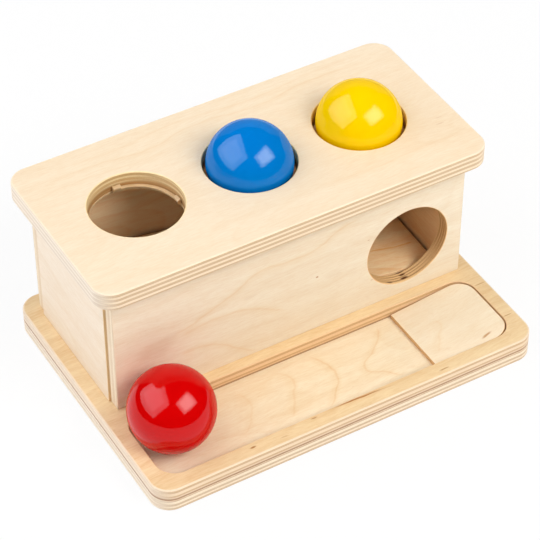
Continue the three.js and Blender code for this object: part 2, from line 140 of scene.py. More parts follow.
class Graph:
    """The node tree of a material or of the room, with a short call for each kind of node used here."""

    def __init__(self, owner: bpy.types.Material | bpy.types.World) -> None:
        """Starts an empty tree.

        Args:
            owner: The material or the room that the tree belongs to.
        """
        self.owner = owner
        owner.use_nodes = True
        self.tree = owner.node_tree
        self.tree.nodes.clear()

    def put(self, socket: Socket, value: Value) -> None:
        """Links a socket to another, or sets it to a constant.

        Args:
            socket: Input to fill.
            value: Another node's output, a number or a tuple.
        """
        if isinstance(value, bpy.types.NodeSocket):
            self.tree.links.new(value, socket)
        elif socket.type == "RGBA":
            socket.default_value = (*value, 1.0)
        else:
            socket.default_value = value

    def node(self, kind: str, inputs: dict[str | int, Value] | None = None,
             **settings: object) -> bpy.types.Node:
        """Adds a node.

        Args:
            kind: The node's type without its ShaderNode prefix.
            inputs: Values or outputs for its sockets, by name or number.
            **settings: The node's own settings.

        Returns:
            The new node.
        """
        made = self.tree.nodes.new("ShaderNode" + kind)
        for name, setting in settings.items():
            setattr(made, name, setting)
        for key, value in (inputs or {}).items():
            self.put(made.inputs[key], value)
        return made

    def math(self, operation: str, *values: Value) -> Socket:
        """Adds a Math node.

        Args:
            operation: Name of the operation.
            *values: Its two or three values.

        Returns:
            The result.
        """
        return self.node("Math", dict(enumerate(values)), operation=operation).outputs[0]

    def total(self, *values: Value) -> Socket:
        """Adds up any number of values."""
        return reduce(partial(self.math, "ADD"), values)

    def product(self, *values: Value) -> Socket:
        """Multiplies any number of values."""
        return reduce(partial(self.math, "MULTIPLY"), values)

    def swing(self, value: Value, strength: float) -> Socket:
        """Turns a noise about its middle into a push of the given strength to either side."""
        return self.product(self.math("SUBTRACT", value, 0.5), strength)

    def span(self, value: Value, low: float, high: float, to_low: float = 0.0, to_high: float = 1.0,
             smooth: bool = False) -> Socket:
        """Maps one range to another and holds it at the ends.

        Args:
            value: What to map.
            low: Start of the range it comes from.
            high: End of the range it comes from.
            to_low: Start of the range it goes to.
            to_high: End of the range it goes to.
            smooth: Whether it eases in and out.

        Returns:
            The mapped value.
        """
        made = self.node("MapRange", {0: value, 1: low, 2: high, 3: to_low, 4: to_high},
                         interpolation_type="SMOOTHSTEP" if smooth else "LINEAR", clamp=True)
        return made.outputs[0]

    def blend(self, share: Value, first: Value, second: Value) -> Socket:
        """Mixes two colours.

        Args:
            share: How much of the second colour shows.
            first: Colour at a share of 0.
            second: Colour at a share of 1.

        Returns:
            The mixed colour.
        """
        return self.node("Mix", {0: share, 6: first, 7: second}, data_type="RGBA").outputs[2]

    def layer(self, share: Value, first: Socket, second: Socket) -> Socket:
        """Mixes two shaders.

        Args:
            share: How much of the second shader shows.
            first: Shader at a share of 0.
            second: Shader at a share of 1.

        Returns:
            The mixed shader.
        """
        return self.node("MixShader", {0: share, 1: first, 2: second}).outputs[0]

    def ramp(self, value: Value, stops: Sequence[Pair], ease: Ease = Ease.STRAIGHT) -> Socket:
        """Maps a value of 0 to 1 through grey stops.

        Args:
            value: What to map.
            stops: Pairs of place and level, in rising order.
            ease: How levels join between the stops.

        Returns:
            The level.
        """
        made = self.node("ValToRGB", {0: value})
        made.color_ramp.interpolation = ease.value
        elements = made.color_ramp.elements
        while len(elements) < len(stops):
            elements.new(1.0)
        for element, (place, level) in zip(elements, stops):
            element.position = place
            element.color = (level, level, level, 1.0)
        return made.outputs[0]

    def curve(self, value: Value, points: Sequence[Pair]) -> Socket:
        """Maps a value of 0 to 1 through a smooth curve.

        Args:
            value: What to map.
            points: Places and heights on the curve, each 0 to 1, in rising order.

        Returns:
            The height on the curve.
        """
        made = self.node("FloatCurve", {1: value})
        line = made.mapping.curves[0].points
        line[0].location, line[1].location = points[0], points[-1]
        for place, height in points[1:-1]:
            line.new(place, height)
        made.mapping.update()
        return made.outputs[0]

    def place(self, stand: Stand = Stand.FLAT) -> Socket:
        """Gives where a point lies, in millimetres along, across and through a board.

        Args:
            stand: How the board stands.

        Returns:
            The place as a vector.
        """
        here = self.node("TexCoord").outputs["Object"]
        scaled = self.node("VectorMath", {0: here, 1: (1 / MM,) * 3}, operation="MULTIPLY")
        parts = self.parts(scaled.outputs[0])
        return self.join(*(parts[axis] for axis in stand.order))

    def join(self, *parts: Value) -> Socket:
        """Joins three values to a vector."""
        return self.node("CombineXYZ", dict(enumerate(parts))).outputs[0]

    def parts(self, vector: Socket) -> tuple[Socket, Socket, Socket]:
        """Splits a vector into its three values."""
        apart = self.node("SeparateXYZ", {0: vector})
        return apart.outputs[0], apart.outputs[1], apart.outputs[2]

    def surface(self, colour: Value, height: Socket, relief: float,
                settings: dict[str, Value]) -> bpy.types.Material:
        """Ends the tree with its shader.

        Args:
            colour: Colour of the surface.
            height: Pattern that stands out as relief.
            relief: How far the pattern stands out, in metres.
            settings: The shader's other sockets.

        Returns:
            The finished material.
        """
        bump = self.node("Bump", {"Height": height, "Distance": relief, "Strength": 1.0})
        shader = self.node("BsdfPrincipled", {"Base Color": colour, "Normal": bump.outputs[0], **settings})
        self.node("OutputMaterial", {"Surface": shader.outputs[0]})
        return self.owner


def start_material(name: str) -> Graph:
    """Starts a material with an empty tree."""
    return Graph(bpy.data.materials.new(name))


# How far a seed shifts a pattern along, across and through a piece
SEED_WAY = (1.0, 0.7, 1.3)


@dataclass(frozen=True)
class Noise:
    """A soft noise with its own scale along each axis.

    Attributes:
        waves: Waves per millimetre along, across and through the piece.
        seed: Shift that gives it its own pattern.
        detail: Number of finer layers.
    """

    waves: tuple[float, float, float]
    seed: float = 0.0
    detail: float = 2.0

    def draw(self, graph: Graph, place: Socket, shift: float = 0.0) -> Socket:
        """Draws the noise.

        Args:
            graph: Tree to draw it in.
            place: Where on the piece, in millimetres.
            shift: Shift of all patterns of a board.

        Returns:
            The noise, about 0.5 in its middle.
        """
        shifts = [(shift + self.seed) * way for way in SEED_WAY]
        moved = graph.node("Mapping", {"Vector": place, "Location": shifts, "Scale": self.waves})
        made = graph.node("TexNoise", {"Vector": moved.outputs[0], "Scale": 1.0, "Detail": self.detail})
        return made.outputs[0]


# How a growth line fades along its run, and the room above and below its curve in millimetres
LINE_FADE = ((0.0, 0.0), (0.1, 1.0), (0.85, 1.0), (1.0, 0.0))
LINE_ROOM = 1.0


@dataclass(frozen=True)
class GrowthLine:
    """A dark growth line in a face veneer.

    Attributes:
        points: Places on the board in millimetres, along the grain and across it.
        depth: How dark the line is.
        width: Width of the line in millimetres.
        shadow: Width of the soft shade on the line's low side.
        crosswise: Whether the line runs mainly across the grain.
    """

    points: tuple[Pair, ...]
    depth: float = 0.5
    width: float = 1.1
    shadow: float = 6.0
    crosswise: bool = False

    def mark(self, graph: Graph, along: Socket, across: Socket, waver: Socket) -> Socket:
        """Draws the line.

        Args:
            graph: Tree to draw it in.
            along: Place along the grain.
            across: Place across the grain.
            waver: Small noise in millimetres that keeps the line from looking ruled.

        Returns:
            How dark the line makes each point.
        """
        run, rise = (across, along) if self.crosswise else (along, across)
        places = sorted(point[::-1] if self.crosswise else point for point in self.points)
        start, end = places[0][0], places[-1][0]
        low, high = min(y for _, y in places) - LINE_ROOM, max(y for _, y in places) + LINE_ROOM
        share = graph.span(run, start, end)
        bend = graph.curve(share, [((x - start) / (end - start), (y - low) / (high - low))
                                   for x, y in places])
        middle = graph.span(bend, 0.0, 1.0, low, high)
        off = graph.total(graph.math("SUBTRACT", rise, middle), waver)
        reach = self.shadow + self.width
        section = ((-self.shadow, 0.0), (-1.4 * self.width, 0.35), (0.0, 1.0), (self.width, 0.3),
                   (0.5 * self.shadow, 0.0))
        profile = graph.ramp(graph.span(off, -reach, reach),
                             [(0.5 + place / (2 * reach), level) for place, level in section], Ease.SOFT)
        fade = graph.ramp(share, LINE_FADE, Ease.SOFT)
        return graph.product(profile, fade, self.depth)


@dataclass(frozen=True)
class FleckOrShade:
    """A small dark mark in a face veneer; some stand for patches of painted shade.

    Attributes:
        middle: Its place on the board in millimetres, along the grain and across it.
        size: Its half length and half width in millimetres.
        depth: How dark it is.
        lean: Its turn on the face in degrees.
        core: Share of its size that is fully dark.
    """

    middle: Pair
    size: Pair
    depth: float = 0.6
    lean: float = 0.0
    core: float = 0.3

    def mark(self, graph: Graph, vector: Socket) -> Socket:
        """Draws the mark.

        Args:
            graph: Tree to draw it in.
            vector: Place on the board, slightly wavering.

        Returns:
            How dark the mark makes each point.
        """
        moved = graph.node("VectorMath", {0: vector, 1: (*self.middle, 0.0)}, operation="SUBTRACT")
        turned = graph.node("Mapping", {"Vector": moved.outputs[0],
                                        "Rotation": (0.0, 0.0, -math.radians(self.lean))})
        shrink = (1 / self.size[0], 1 / self.size[1], 0.0)
        scaled = graph.node("VectorMath", {0: turned.outputs[0], 1: shrink}, operation="MULTIPLY")
        far = graph.node("VectorMath", {0: scaled.outputs[0]}, operation="LENGTH").outputs["Value"]
        return graph.span(far, self.core, 1.0, self.depth, 0.0, smooth=True)


# Patterns of a veneer, and how far some of them push it, in millimetres
DRIFT = Noise((0.012, 0.03, 0.03), detail=1.0)
DRIFT_REACH = 14.0
WAVER = Noise((0.09, 0.25, 0.25), 5.0)
WAVER_REACH = 2.2
FIBRE = Noise((0.15, 1.15, 1.15), detail=3.0)
FIBRE_SPREAD = (0.25, 0.75)
RAGGED_REACH = 1.2
PORE = Noise((0.38, 4.0, 4.0), 2.0, 1.0)
PORE_SHOWS = (0.62, 0.78, 0.0, 0.32)
PORE_RELIEF = 0.6
STREAK = Noise((0.006, 0.16, 0.16), 9.0, 3.0)
CLOUD = Noise((0.010, 0.022, 0.022), 17.0)
HILLS = Noise((0.0055, 0.016, 0.016), 31.0, 1.0)
HILL_STEPS = 13.0
HILL_RIDGE = ((0.0, 0.0), (0.72, 0.45), (0.9, 1.0), (1.0, 0.0))
MEAN_TONE = 0.32

# Shares of a veneer's dark colour in its growth lines, pores, flecks and patches of painted shade
LINE_TINT: Colour = (0.95, 0.79, 0.48)
PORE_TINT: Colour = (0.86, 0.80, 0.72)
FLECK_AND_SHADE_TINT: Colour = (0.62, 0.37, 0.12)


@dataclass(frozen=True)
class Veneer:
    """A birch face veneer with a matt clear coat.

    Attributes:
        light: Colour of the pale wood.
        dark: Colour of its streaks.
        seed: Shift that gives each board its own pattern.
        fibre: Strength of the fine fibres.
        streak: Strength of the long streaks.
        cloud: Strength of the broad changes of tone.
        contour: Strength of the faint growth contours.
        lines: Growth lines that stand out.
        flecks_and_shade: Small dark marks, and patches of painted shade.
        rough: Roughness of the coat, from the smooth fibres to the rough ones.
        relief: How far the fibres stand out.
    """

    light: Colour
    dark: Colour
    seed: float = 0.0
    fibre: float = 0.65
    streak: float = 0.6
    cloud: float = 0.5
    contour: float = 0.25
    lines: tuple[GrowthLine, ...] = ()
    flecks_and_shade: tuple[FleckOrShade, ...] = ()
    rough: Pair = (0.44, 0.56)
    relief: float = 0.02 * MM

    def material(self, name: str, stand: Stand) -> bpy.types.Material:
        """Makes the veneer for one board.

        Args:
            name: Name of the material.
            stand: How the board stands.

        Returns:
            The material.
        """
        graph = start_material(name)
        place = graph.place(stand)
        along, across, through = graph.parts(place)
        drift, waver, cloud = (noise.draw(graph, place, self.seed) for noise in (DRIFT, WAVER, CLOUD))
        waver = graph.swing(waver, WAVER_REACH)
        bent = graph.join(along, graph.total(across, graph.swing(drift, DRIFT_REACH)), through)
        fibre, pore, streak = (noise.draw(graph, bent, self.seed) for noise in (FIBRE, PORE, STREAK))
        tone = graph.total(MEAN_TONE, graph.swing(fibre, self.fibre), graph.swing(streak, self.streak),
                           graph.swing(cloud, self.cloud), self.contours(graph, place))
        colour = graph.blend(graph.math("MAXIMUM", tone, 0.0), self.light, self.dark)
        colour = graph.blend(graph.span(pore, *PORE_SHOWS), colour, self.tinted(PORE_TINT))
        for line in self.lines:
            colour = graph.blend(line.mark(graph, along, across, waver), colour, self.tinted(LINE_TINT))
        ragged = graph.join(graph.total(along, waver),
                            graph.total(across, graph.swing(fibre, RAGGED_REACH)), 0.0)
        for patch in self.flecks_and_shade:
            colour = graph.blend(patch.mark(graph, ragged), colour, self.tinted(FLECK_AND_SHADE_TINT))
        height = graph.total(fibre, graph.product(pore, PORE_RELIEF))
        return graph.surface(colour, height, self.relief, {
            "Roughness": graph.span(fibre, *FIBRE_SPREAD, *self.rough), "Specular IOR Level": 0.25})

    def contours(self, graph: Graph, place: Socket) -> Socket:
        """Draws faint nested growth contours over the whole face.

        Args:
            graph: Tree to draw them in.
            place: Place on the board.

        Returns:
            How much darker the contours make each point.
        """
        steps = graph.math("FRACT", graph.product(HILLS.draw(graph, place, self.seed), HILL_STEPS))
        return graph.product(graph.ramp(steps, HILL_RIDGE), self.contour)

    def tinted(self, tint: Colour) -> Colour:
        """Gives the dark colour with only a share of each channel left."""
        red, green, blue = (level * share for level, share in zip(self.dark, tint))
        return red, green, blue


# Patterns of plywood edges, and their strengths
PLY_WAVER = Noise((0.05, 0.05, 0.0))
PLY_WAVER_REACH = 0.35
SPECK = Noise((1.6, 1.6, 1.6), 3.0, 3.0)
SPECK_STRENGTH = 0.55
BAND = Noise((0.05, 0.05, 1.1), 7.0)
BAND_STRENGTH = 0.5
CUT_STRENGTH = 0.8
EDGE_TONE = 0.1
FROST: Colour = (0.93, 0.875, 0.80)


@dataclass(frozen=True)
class PlyEdge:
    """The sanded edge of plywood: plies that cross, so that each shows long grain or end grain.

    Attributes:
        plies: Thickness of each ply from the low face to the high one. The grain of the first runs along the
            board, that of the next across it, and so on.
        long_grain: Colour of a ply cut along its grain.
        end_grain: Colour of a ply cut across its grain.
        glue: Colour of the line between two plies.
        ends: How much the plies differ on the board's ends, against its long edges.
        frost: How much paler and cooler the board's ends are.
        seam: How much the glue shows.
        foot: How much a dark band along the low face shows. On the base's upper layer it is the glue line
            where the layers meet; low in the lid's holes it is painted shade round the grip ring.
        rise: Share of the board's thickness that this band takes.
        marks: Scorch marks, placed along the board and through it.
        seed: Shift that gives each board its own pattern.
        blur: Share of the thickness over which one ply turns into the next.
        seam_reach: Share of the thickness that a glue line takes to either side.
        relief: How far the grain stands out.
    """

    plies: tuple[float, ...]
    long_grain: Colour
    end_grain: Colour
    glue: Colour
    ends: float = 0.6
    frost: float = 0.0
    seam: float = 0.3
    foot: float = 0.0
    rise: float = 0.12
    marks: tuple[FleckOrShade, ...] = ()
    seed: float = 0.0
    blur: float = 0.006
    seam_reach: float = 0.016
    relief: float = 0.03 * MM

    def joints(self) -> list[float]:
        """Gives where the plies meet, as shares of the thickness."""
        return [sum(self.plies[:count]) / sum(self.plies) for count in range(1, len(self.plies))]

    def material(self, name: str, stand: Stand, low: float, high: float) -> bpy.types.Material:
        """Makes the edge of one board.

        Args:
            name: Name of the material.
            stand: How the board stands.
            low: Where the plies start, in metres.
            high: Where the plies end, in metres.

        Returns:
            The material.
        """
        graph = start_material(name)
        place = graph.place(stand)
        length, _, through = graph.parts(place)
        waver, speck, band = (noise.draw(graph, place, self.seed) for noise in (PLY_WAVER, SPECK, BAND))
        share = graph.span(graph.total(through, graph.swing(waver, PLY_WAVER_REACH)), low / MM, high / MM)
        crossing = graph.ramp(share, self.alternation())
        normal = graph.parts(graph.node("NewGeometry").outputs["Normal"])
        along, across = (graph.math("POWER", normal[axis], 2.0) for axis in stand.order[:2])
        facing = graph.span(crossing, 0.0, 1.0, self.ends, 0.0)
        cut = graph.total(graph.product(along, facing), graph.product(across, crossing))
        tone = graph.total(graph.product(cut, CUT_STRENGTH), graph.swing(speck, SPECK_STRENGTH),
                           graph.swing(band, BAND_STRENGTH), EDGE_TONE)
        colour = graph.blend(graph.span(tone, 0.0, 1.0), self.long_grain, self.end_grain)
        colour = graph.blend(graph.product(graph.ramp(share, self.seams()), self.seam), colour, self.glue)
        colour = graph.blend(graph.product(along, self.frost), colour, FROST)
        # Dark band along the low face: the glue line on the base's upper layer, painted shade in the lid's
        # holes
        foot = graph.ramp(share, ((0.0, 1.0), (self.rise, 0.9), (2.2 * self.rise, 0.0)), Ease.SOFT)
        colour = graph.blend(graph.product(foot, self.foot), colour, self.glue)
        for mark in self.marks:
            colour = graph.blend(mark.mark(graph, graph.join(length, through, 0.0)), colour, self.glue)
        return graph.surface(colour, speck, self.relief, {"Roughness": 0.6, "Specular IOR Level": 0.3})

    def alternation(self) -> list[Pair]:
        """Gives ramp stops that switch between the two grain directions from ply to ply.

        Returns:
            Pairs of place and level.
        """
        stops = [(0.0, 0.0)]
        for number, joint in enumerate(self.joints()):
            stops += [(joint - self.blur, float(number % 2)), (joint + self.blur, float((number + 1) % 2))]
        return stops

    def seams(self) -> list[Pair]:
        """Gives ramp stops that peak at each glue line.

        Returns:
            Pairs of place and level.
        """
        reach = self.seam_reach
        stops = [(0.0, 0.0)]
        for joint in self.joints():
            if reach < joint < 1.0 - reach:
                stops += [(joint - reach, 0.0), (joint, 1.0), (joint + reach, 0.0)]
        return stops


@dataclass(frozen=True)
class Finish:
    """A finish whose colour drifts softly between two tones.

    Attributes:
        light: Its main colour.
        dark: The colour that it drifts to.
        cloud: Pattern of the drift.
        drift: Where in the pattern the drift starts and ends.
        grit: Pattern of the relief, if it isn't that of the drift.
        relief: How far the relief stands out.
        stand: How the piece lies.
    """

    light: Colour
    dark: Colour
    cloud: Noise = Noise((0.05, 0.05, 0.05), 1.0)
    drift: Pair = (0.3, 0.7)
    grit: Noise | None = None
    relief: float = 0.01 * MM
    stand: Stand = Stand.FLAT

    def material(self, name: str) -> bpy.types.Material:
        """Makes the finish.

        Args:
            name: Name of the material.

        Returns:
            The material.
        """
        graph = start_material(name)
        place = graph.place(self.stand)
        cloud = self.cloud.draw(graph, place)
        share = graph.span(cloud, *self.drift)
        colour = self.marked(graph, place, graph.blend(share, self.light, self.dark))
        height = self.grit.draw(graph, place) if self.grit else cloud
        return graph.surface(colour, height, self.relief, self.settings(graph, share))

    def marked(self, graph: Graph, place: Socket, colour: Socket) -> Socket:
        """Gives the colour with the finish's own marks, here none."""
        return colour

    def settings(self, graph: Graph, share: Socket) -> dict[str, Value]:
        """Gives the shader's other sockets, here none."""
        return {}


@dataclass(frozen=True)
class Lacquer(Finish):
    """A high gloss coloured lacquer on a turned ball.

    Attributes:
        coat: How strongly its clear top coat mirrors.
        index: Refractive index of the top coat.
    """

    grit: Noise | None = Noise((0.35, 0.35, 0.35), 4.0, 1.0)
    coat: float = 0.4
    index: float = 1.5

    def settings(self, graph: Graph, share: Socket) -> dict[str, Value]:
        """Gives a dull colour under a clear coat."""
        return {"Roughness": 0.35, "Specular IOR Level": 0.0, "Coat Weight": self.coat,
                "Coat Roughness": 0.08, "Coat IOR": self.index}


@dataclass(frozen=True)
class SoftRubber(Finish):
    """Cream rubber that lets a little light in, with a darker tone where it is handled."""

    cloud: Noise = Noise((0.12, 0.12, 0.12), 2.0, 3.0)
    grit: Noise | None = Noise((2.5, 2.5, 2.5), 6.0)
    relief: float = 0.02 * MM

    def settings(self, graph: Graph, share: Socket) -> dict[str, Value]:
        """Gives a soft sheen, with light that spreads under the surface."""
        return {"Roughness": 0.55, "Subsurface Weight": 0.3, "Subsurface Radius": (3.0, 2.2, 1.4),
                "Subsurface Scale": MM, "Specular IOR Level": 0.4}


# Where the rays of beech start and end in their pattern, and how much of them shows there
RAY_SHOWS = (0.6, 0.75, 0.0, 0.5)


@dataclass(frozen=True)
class SolidWood(Finish):
    """Plain beech, for dowels and battens.

    Attributes:
        rays: Pattern of its short dark rays.
    """

    cloud: Noise = Noise((0.03, 0.7, 0.7), 3.0, 3.0)
    drift: Pair = (0.3, 0.75)
    relief: float = 0.03 * MM
    rays: Noise = Noise((0.5, 2.8, 2.8), 8.0, 1.0)

    def marked(self, graph: Graph, place: Socket, colour: Socket) -> Socket:
        """Gives the colour with short dark rays."""
        return graph.blend(graph.span(self.rays.draw(graph, place), *RAY_SHOWS), colour, self.dark)

    def settings(self, graph: Graph, share: Socket) -> dict[str, Value]:
        """Gives a bare sanded surface."""
        return {"Roughness": 0.62}


@dataclass(frozen=True)
class PlatedSteel(Finish):
    """Zinc plated steel with a faint brushed cloud."""

    cloud: Noise = Noise((0.6, 0.6, 0.6), 1.0, 3.0)

    def settings(self, graph: Graph, share: Socket) -> dict[str, Value]:
        """Gives bare metal, rougher where it is dull."""
        return {"Roughness": graph.span(share, 0.0, 1.0, 0.22, 0.36), "Metallic": 1.0}


def add_object(name: str, data: bpy.types.ID) -> bpy.types.Object:
    """Adds an object to the scene.

    Args:
        name: Its name.
        data: Its mesh, lamp or camera.

    Returns:
        The object.
    """
    made = bpy.data.objects.new(name, data)
    bpy.context.scene.collection.objects.link(made)
    return made


def add_mesh(shape: BMesh, name: str, materials: Sequence[bpy.types.Material]) -> bpy.types.Object:
    """Turns a mesh in work into an object.

    Args:
        shape: The mesh in work, which is freed.
        name: Name of the object.
        materials: Its materials, in the order of the faces' numbers.

    Returns:
        The object.
    """
    mesh = bpy.data.meshes.new(name)
    shape.to_mesh(mesh)
    shape.free()
    for material in materials:
        mesh.materials.append(material)
    return add_object(name, mesh)


def finish_piece(shape: BMesh, node: str, materials: Sequence[bpy.types.Material],
                 body: str = BOX_BODY) -> bpy.types.Object:
    """Turns a mesh in work into a piece that stands for a CAD node.

    Args:
        shape: The mesh in work, which is freed.
        node: Name of the CAD node.
        materials: Its materials, in the order of the faces' numbers.
        body: Body that it moves with.

    Returns:
        The piece.
    """
    piece = add_mesh(shape, node + "_dressed", materials)
    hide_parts(node)
    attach(piece, body)
    LOG.info("%s: %d faces", piece.name, len(piece.data.polygons))
    return piece


def dress_node(node: str, material: bpy.types.Material) -> None:
    """Gives a CAD node that keeps its shape a better material.

    Args:
        node: Name of the node.
        material: The material.
    """
    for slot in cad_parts[node].material_slots:
        slot.material = material
    LOG.info("%s: dressed in %s", node, material.name)


def node_corners(node: str) -> tuple[Vector, Vector]:
    """Gives the low and the high corner of a CAD node's box."""
    low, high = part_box(node)
    return Vector(low), Vector(high)


def node_middle(node: str) -> Vector:
    """Gives the middle of a CAD node's box."""
    low, high = node_corners(node)
    return (low + high) / 2


def smooth(shape: BMesh) -> None:
    """Shades a mesh smooth."""
    for face in shape.faces:
        face.smooth = True


def mark_sharp(shape: BMesh) -> None:
    """Shades a mesh smooth, apart from its sharp edges.

    Args:
        shape: The mesh.
    """
    smooth(shape)
    for edge in shape.edges:
        edge.smooth = len(edge.link_faces) == 2 and edge.calc_face_angle(0.0) < SHARP_TURN


def even_normals(piece: bpy.types.Object) -> None:
    """Keeps flat faces flat beside their eased arrises.

    Args:
        piece: The piece.
    """
    weighted = piece.modifiers.new("even_normals", "WEIGHTED_NORMAL")
    weighted.keep_sharp = True
    weighted.weight = FLAT_WEIGHT


def draw_rectangle(shape: BMesh, low: Sequence[float], high: Sequence[float], height: float) -> list[BMVert]:
    """Draws a flat rectangle.

    Args:
        shape: Mesh to draw in.
        low: Its low corner.
        high: Its high corner.
        height: Its height.

    Returns:
        Its four corners.
    """
    middle = [(high[axis] + low[axis]) / 2 for axis in range(2)]
    size = [high[axis] - low[axis] for axis in range(2)]
    place = Matrix.Translation((*middle, height)) @ Matrix.Diagonal((*size, 1.0, 1.0))
    return bmesh.ops.create_grid(shape, x_segments=1, y_segments=1, size=0.5, matrix=place)["verts"]


def round_corners(shape: BMesh, corners: list[BMVert], radius: float) -> None:
    """Rounds the corners of a flat outline.

    Args:
        shape: Mesh to draw in.
        corners: Corners to round.
        radius: Their radius.
    """
    bmesh.ops.bevel(shape, geom=corners, offset=radius, offset_type="OFFSET", segments=CORNER_STEPS,
                    profile=0.5, affect="VERTICES", clamp_overlap=False, material=-1)


def ease_edges(shape: BMesh, edges: list[BMEdge], radius: float, steps: int) -> None:
    """Eases the edges of a block, and counts the arrises to its sides.

    Args:
        shape: Mesh to draw in.
        edges: Edges to ease.
        radius: Radius of the arrises.
        steps: Number of steps in each arris.
    """
    bmesh.ops.bevel(shape, geom=edges, offset=radius, offset_type="OFFSET", segments=steps, profile=0.5,
                    affect="EDGES", clamp_overlap=False, loop_slide=False, material=EDGE)


def pull(shape: BMesh, faces: list[BMFace], way: Sequence[float]) -> list[BMVert]:
    """Pulls faces out to a block.

    Args:
        shape: Mesh to draw in.
        faces: Faces to pull.
        way: How far they are pulled along each axis.

    Returns:
        The corners of the pulled faces.
    """
    made = bmesh.ops.extrude_face_region(shape, geom=faces, use_keep_orig=True)
    far = [item for item in made["geom"] if isinstance(item, BMVert)]
    bmesh.ops.translate(shape, vec=way, verts=far)
    return far


def number_sides(shape: BMesh) -> None:
    """Tells the faces of a lying block from its sides, by the numbers of their materials."""
    for face in shape.faces:
        face.material_index = FACE if abs(face.normal.z) > LEVEL_NORMAL else EDGE


def finish_block(shape: BMesh, node: str, veneer: Veneer, edge: PlyEdge) -> bpy.types.Object:
    """Dresses a lying block of pale plywood that isn't a plain board.

    Args:
        shape: The block in work, which is freed.
        node: Name of the CAD node that it stands for.
        veneer: Finish of its faces.
        edge: Finish of its sides.

    Returns:
        The piece.
    """
    low, high = node_corners(node)
    mark_sharp(shape)
    materials = (veneer.material(node + "_veneer", Stand.FLAT),
                 edge.material(node + "_edge", Stand.FLAT, low.z, high.z))
    piece = finish_piece(shape, node, materials)
    even_normals(piece)
    return piece


def arris(low: float, high: float, ease_low: float, ease_high: float) -> list[Pair]:
    """Works out the section of an edge with eased arrises.

    Args:
        low: Height of the lower face.
        high: Height of the upper face.
        ease_low: Radius of the lower arris.
        ease_high: Radius of the upper arris.

    Returns:
        Pairs of inset and height from the lower face to the upper one.
    """
    section: list[Pair] = []
    for face, ease, upward in ((low, ease_low, 1.0), (high, ease_high, -1.0)):
        steps = ARRIS_STEPS if ease > 0 else 0
        turns = [math.pi / 2 * step / max(steps, 1) for step in range(steps + 1)]
        curve = [(ease - ease * math.sin(turn), face + upward * (ease - ease * math.cos(turn)))
                 for turn in turns]
        section += curve if upward > 0 else curve[::-1]
    return section


class Rim(Protocol):
    """An outline or a cut of a board, drawn as a wall from its lower face to its upper one."""

    def wall(self, shape: BMesh, low: float, high: float) -> list[BMFace]:
        """Draws the wall."""


def open_rims(faces: Sequence[BMFace], split: float) -> tuple[list[BMEdge], list[BMEdge]]:
    """Finds the open edges of a wall.

    Args:
        faces: Faces of the wall.
        split: Height between its lower and its upper edge.

    Returns:
        The lower and the upper edges.
    """
    rims = {edge for face in faces for edge in face.edges if edge.is_boundary}
    lower = [edge for edge in rims if edge.verts[0].co.z < split]
    return lower, [edge for edge in rims if edge.verts[0].co.z >= split]


@dataclass(frozen=True)
class RoundedRim:
    """A rectangle with rounded corners.

    Attributes:
        low: Its low corner, along and across the board.
        high: Its high corner, along and across the board.
        corner: Radius of its corners.
        ease_low: Radius of the arris at the lower face.
        ease_high: Radius of the arris at the upper face.
        inward: 1 for an outline, -1 for a cut, whose arrises widen it.
        least: Smallest radius of a corner.
    """

    low: Pair
    high: Pair
    corner: float
    ease_low: float
    ease_high: float
    inward: float = 1.0
    least: float = 0.02 * MM

    def wall(self, shape: BMesh, low: float, high: float) -> list[BMFace]:
        """Draws the wall as a stack of bridged loops.

        Args:
            shape: Mesh to draw in.
            low: Height of the lower face.
            high: Height of the upper face.

        Returns:
            Its faces.
        """
        loops = [self.ring(shape, inset * self.inward, height)
                 for inset, height in arris(low, high, self.ease_low, self.ease_high)]
        faces: list[BMFace] = []
        for lower, upper in zip(loops, loops[1:]):
            faces += bmesh.ops.bridge_loops(shape, edges=lower + upper)["faces"]
        return faces

    def ring(self, shape: BMesh, inset: float, height: float) -> list[BMEdge]:
        """Draws one loop.

        Args:
            shape: Mesh to draw in.
            inset: How far the loop lies inside the rectangle.
            height: Its height.

        Returns:
            Its edges.
        """
        known = set(shape.edges)
        corners = draw_rectangle(shape, [place + inset for place in self.low],
                                 [place - inset for place in self.high], height)
        round_corners(shape, corners, max(self.corner - inset, self.least))
        edges = [edge for edge in shape.edges if edge not in known]
        faces = {face for edge in edges for face in edge.link_faces}
        bmesh.ops.delete(shape, geom=list(faces), context="FACES_ONLY")
        return edges


@dataclass(frozen=True)
class RoundCut:
    """A round hole with steps in its bore.

    Attributes:
        middle: Its middle, along and across the board.
        bore: Pairs of radius and height above the lower face, from low to high. The first and the last
            height are left to the board's faces.
        ease: Radius of the arris at its upper mouth.
        ease_low: Radius of the arris at its lower mouth.
    """

    middle: Pair
    bore: tuple[Pair, ...]
    ease: float = 0.0
    ease_low: float = 0.0

    def wall(self, shape: BMesh, low: float, high: float) -> list[BMFace]:
        """Draws the bore by spinning its section.

        Args:
            shape: Mesh to draw in.
            low: Height of the lower face.
            high: Height of the upper face.

        Returns:
            Its faces.
        """
        section = arris(low, high, self.ease_low, self.ease)
        half = len(arris(low, high, self.ease_low, 0.0)) - 1
        first, last = self.bore[0][0], self.bore[-1][0]
        steps = [(first + inset, height) for inset, height in section[:half]]
        steps += [(radius, low + rise) for radius, rise in self.bore[1:-1]]
        steps += [(last + inset, height) for inset, height in section[half:]]
        known = set(shape.faces)
        along, across = self.middle
        verts = [shape.verts.new((along + radius, across, height)) for radius, height in steps]
        edges = [shape.edges.new(pair) for pair in zip(verts, verts[1:])]
        bmesh.ops.spin(shape, geom=verts + edges, cent=(along, across, 0.0), axis=(0, 0, 1), angle=math.tau,
                       steps=ROUND_STEPS, use_merge=True)
        return [face for face in shape.faces if face not in known]


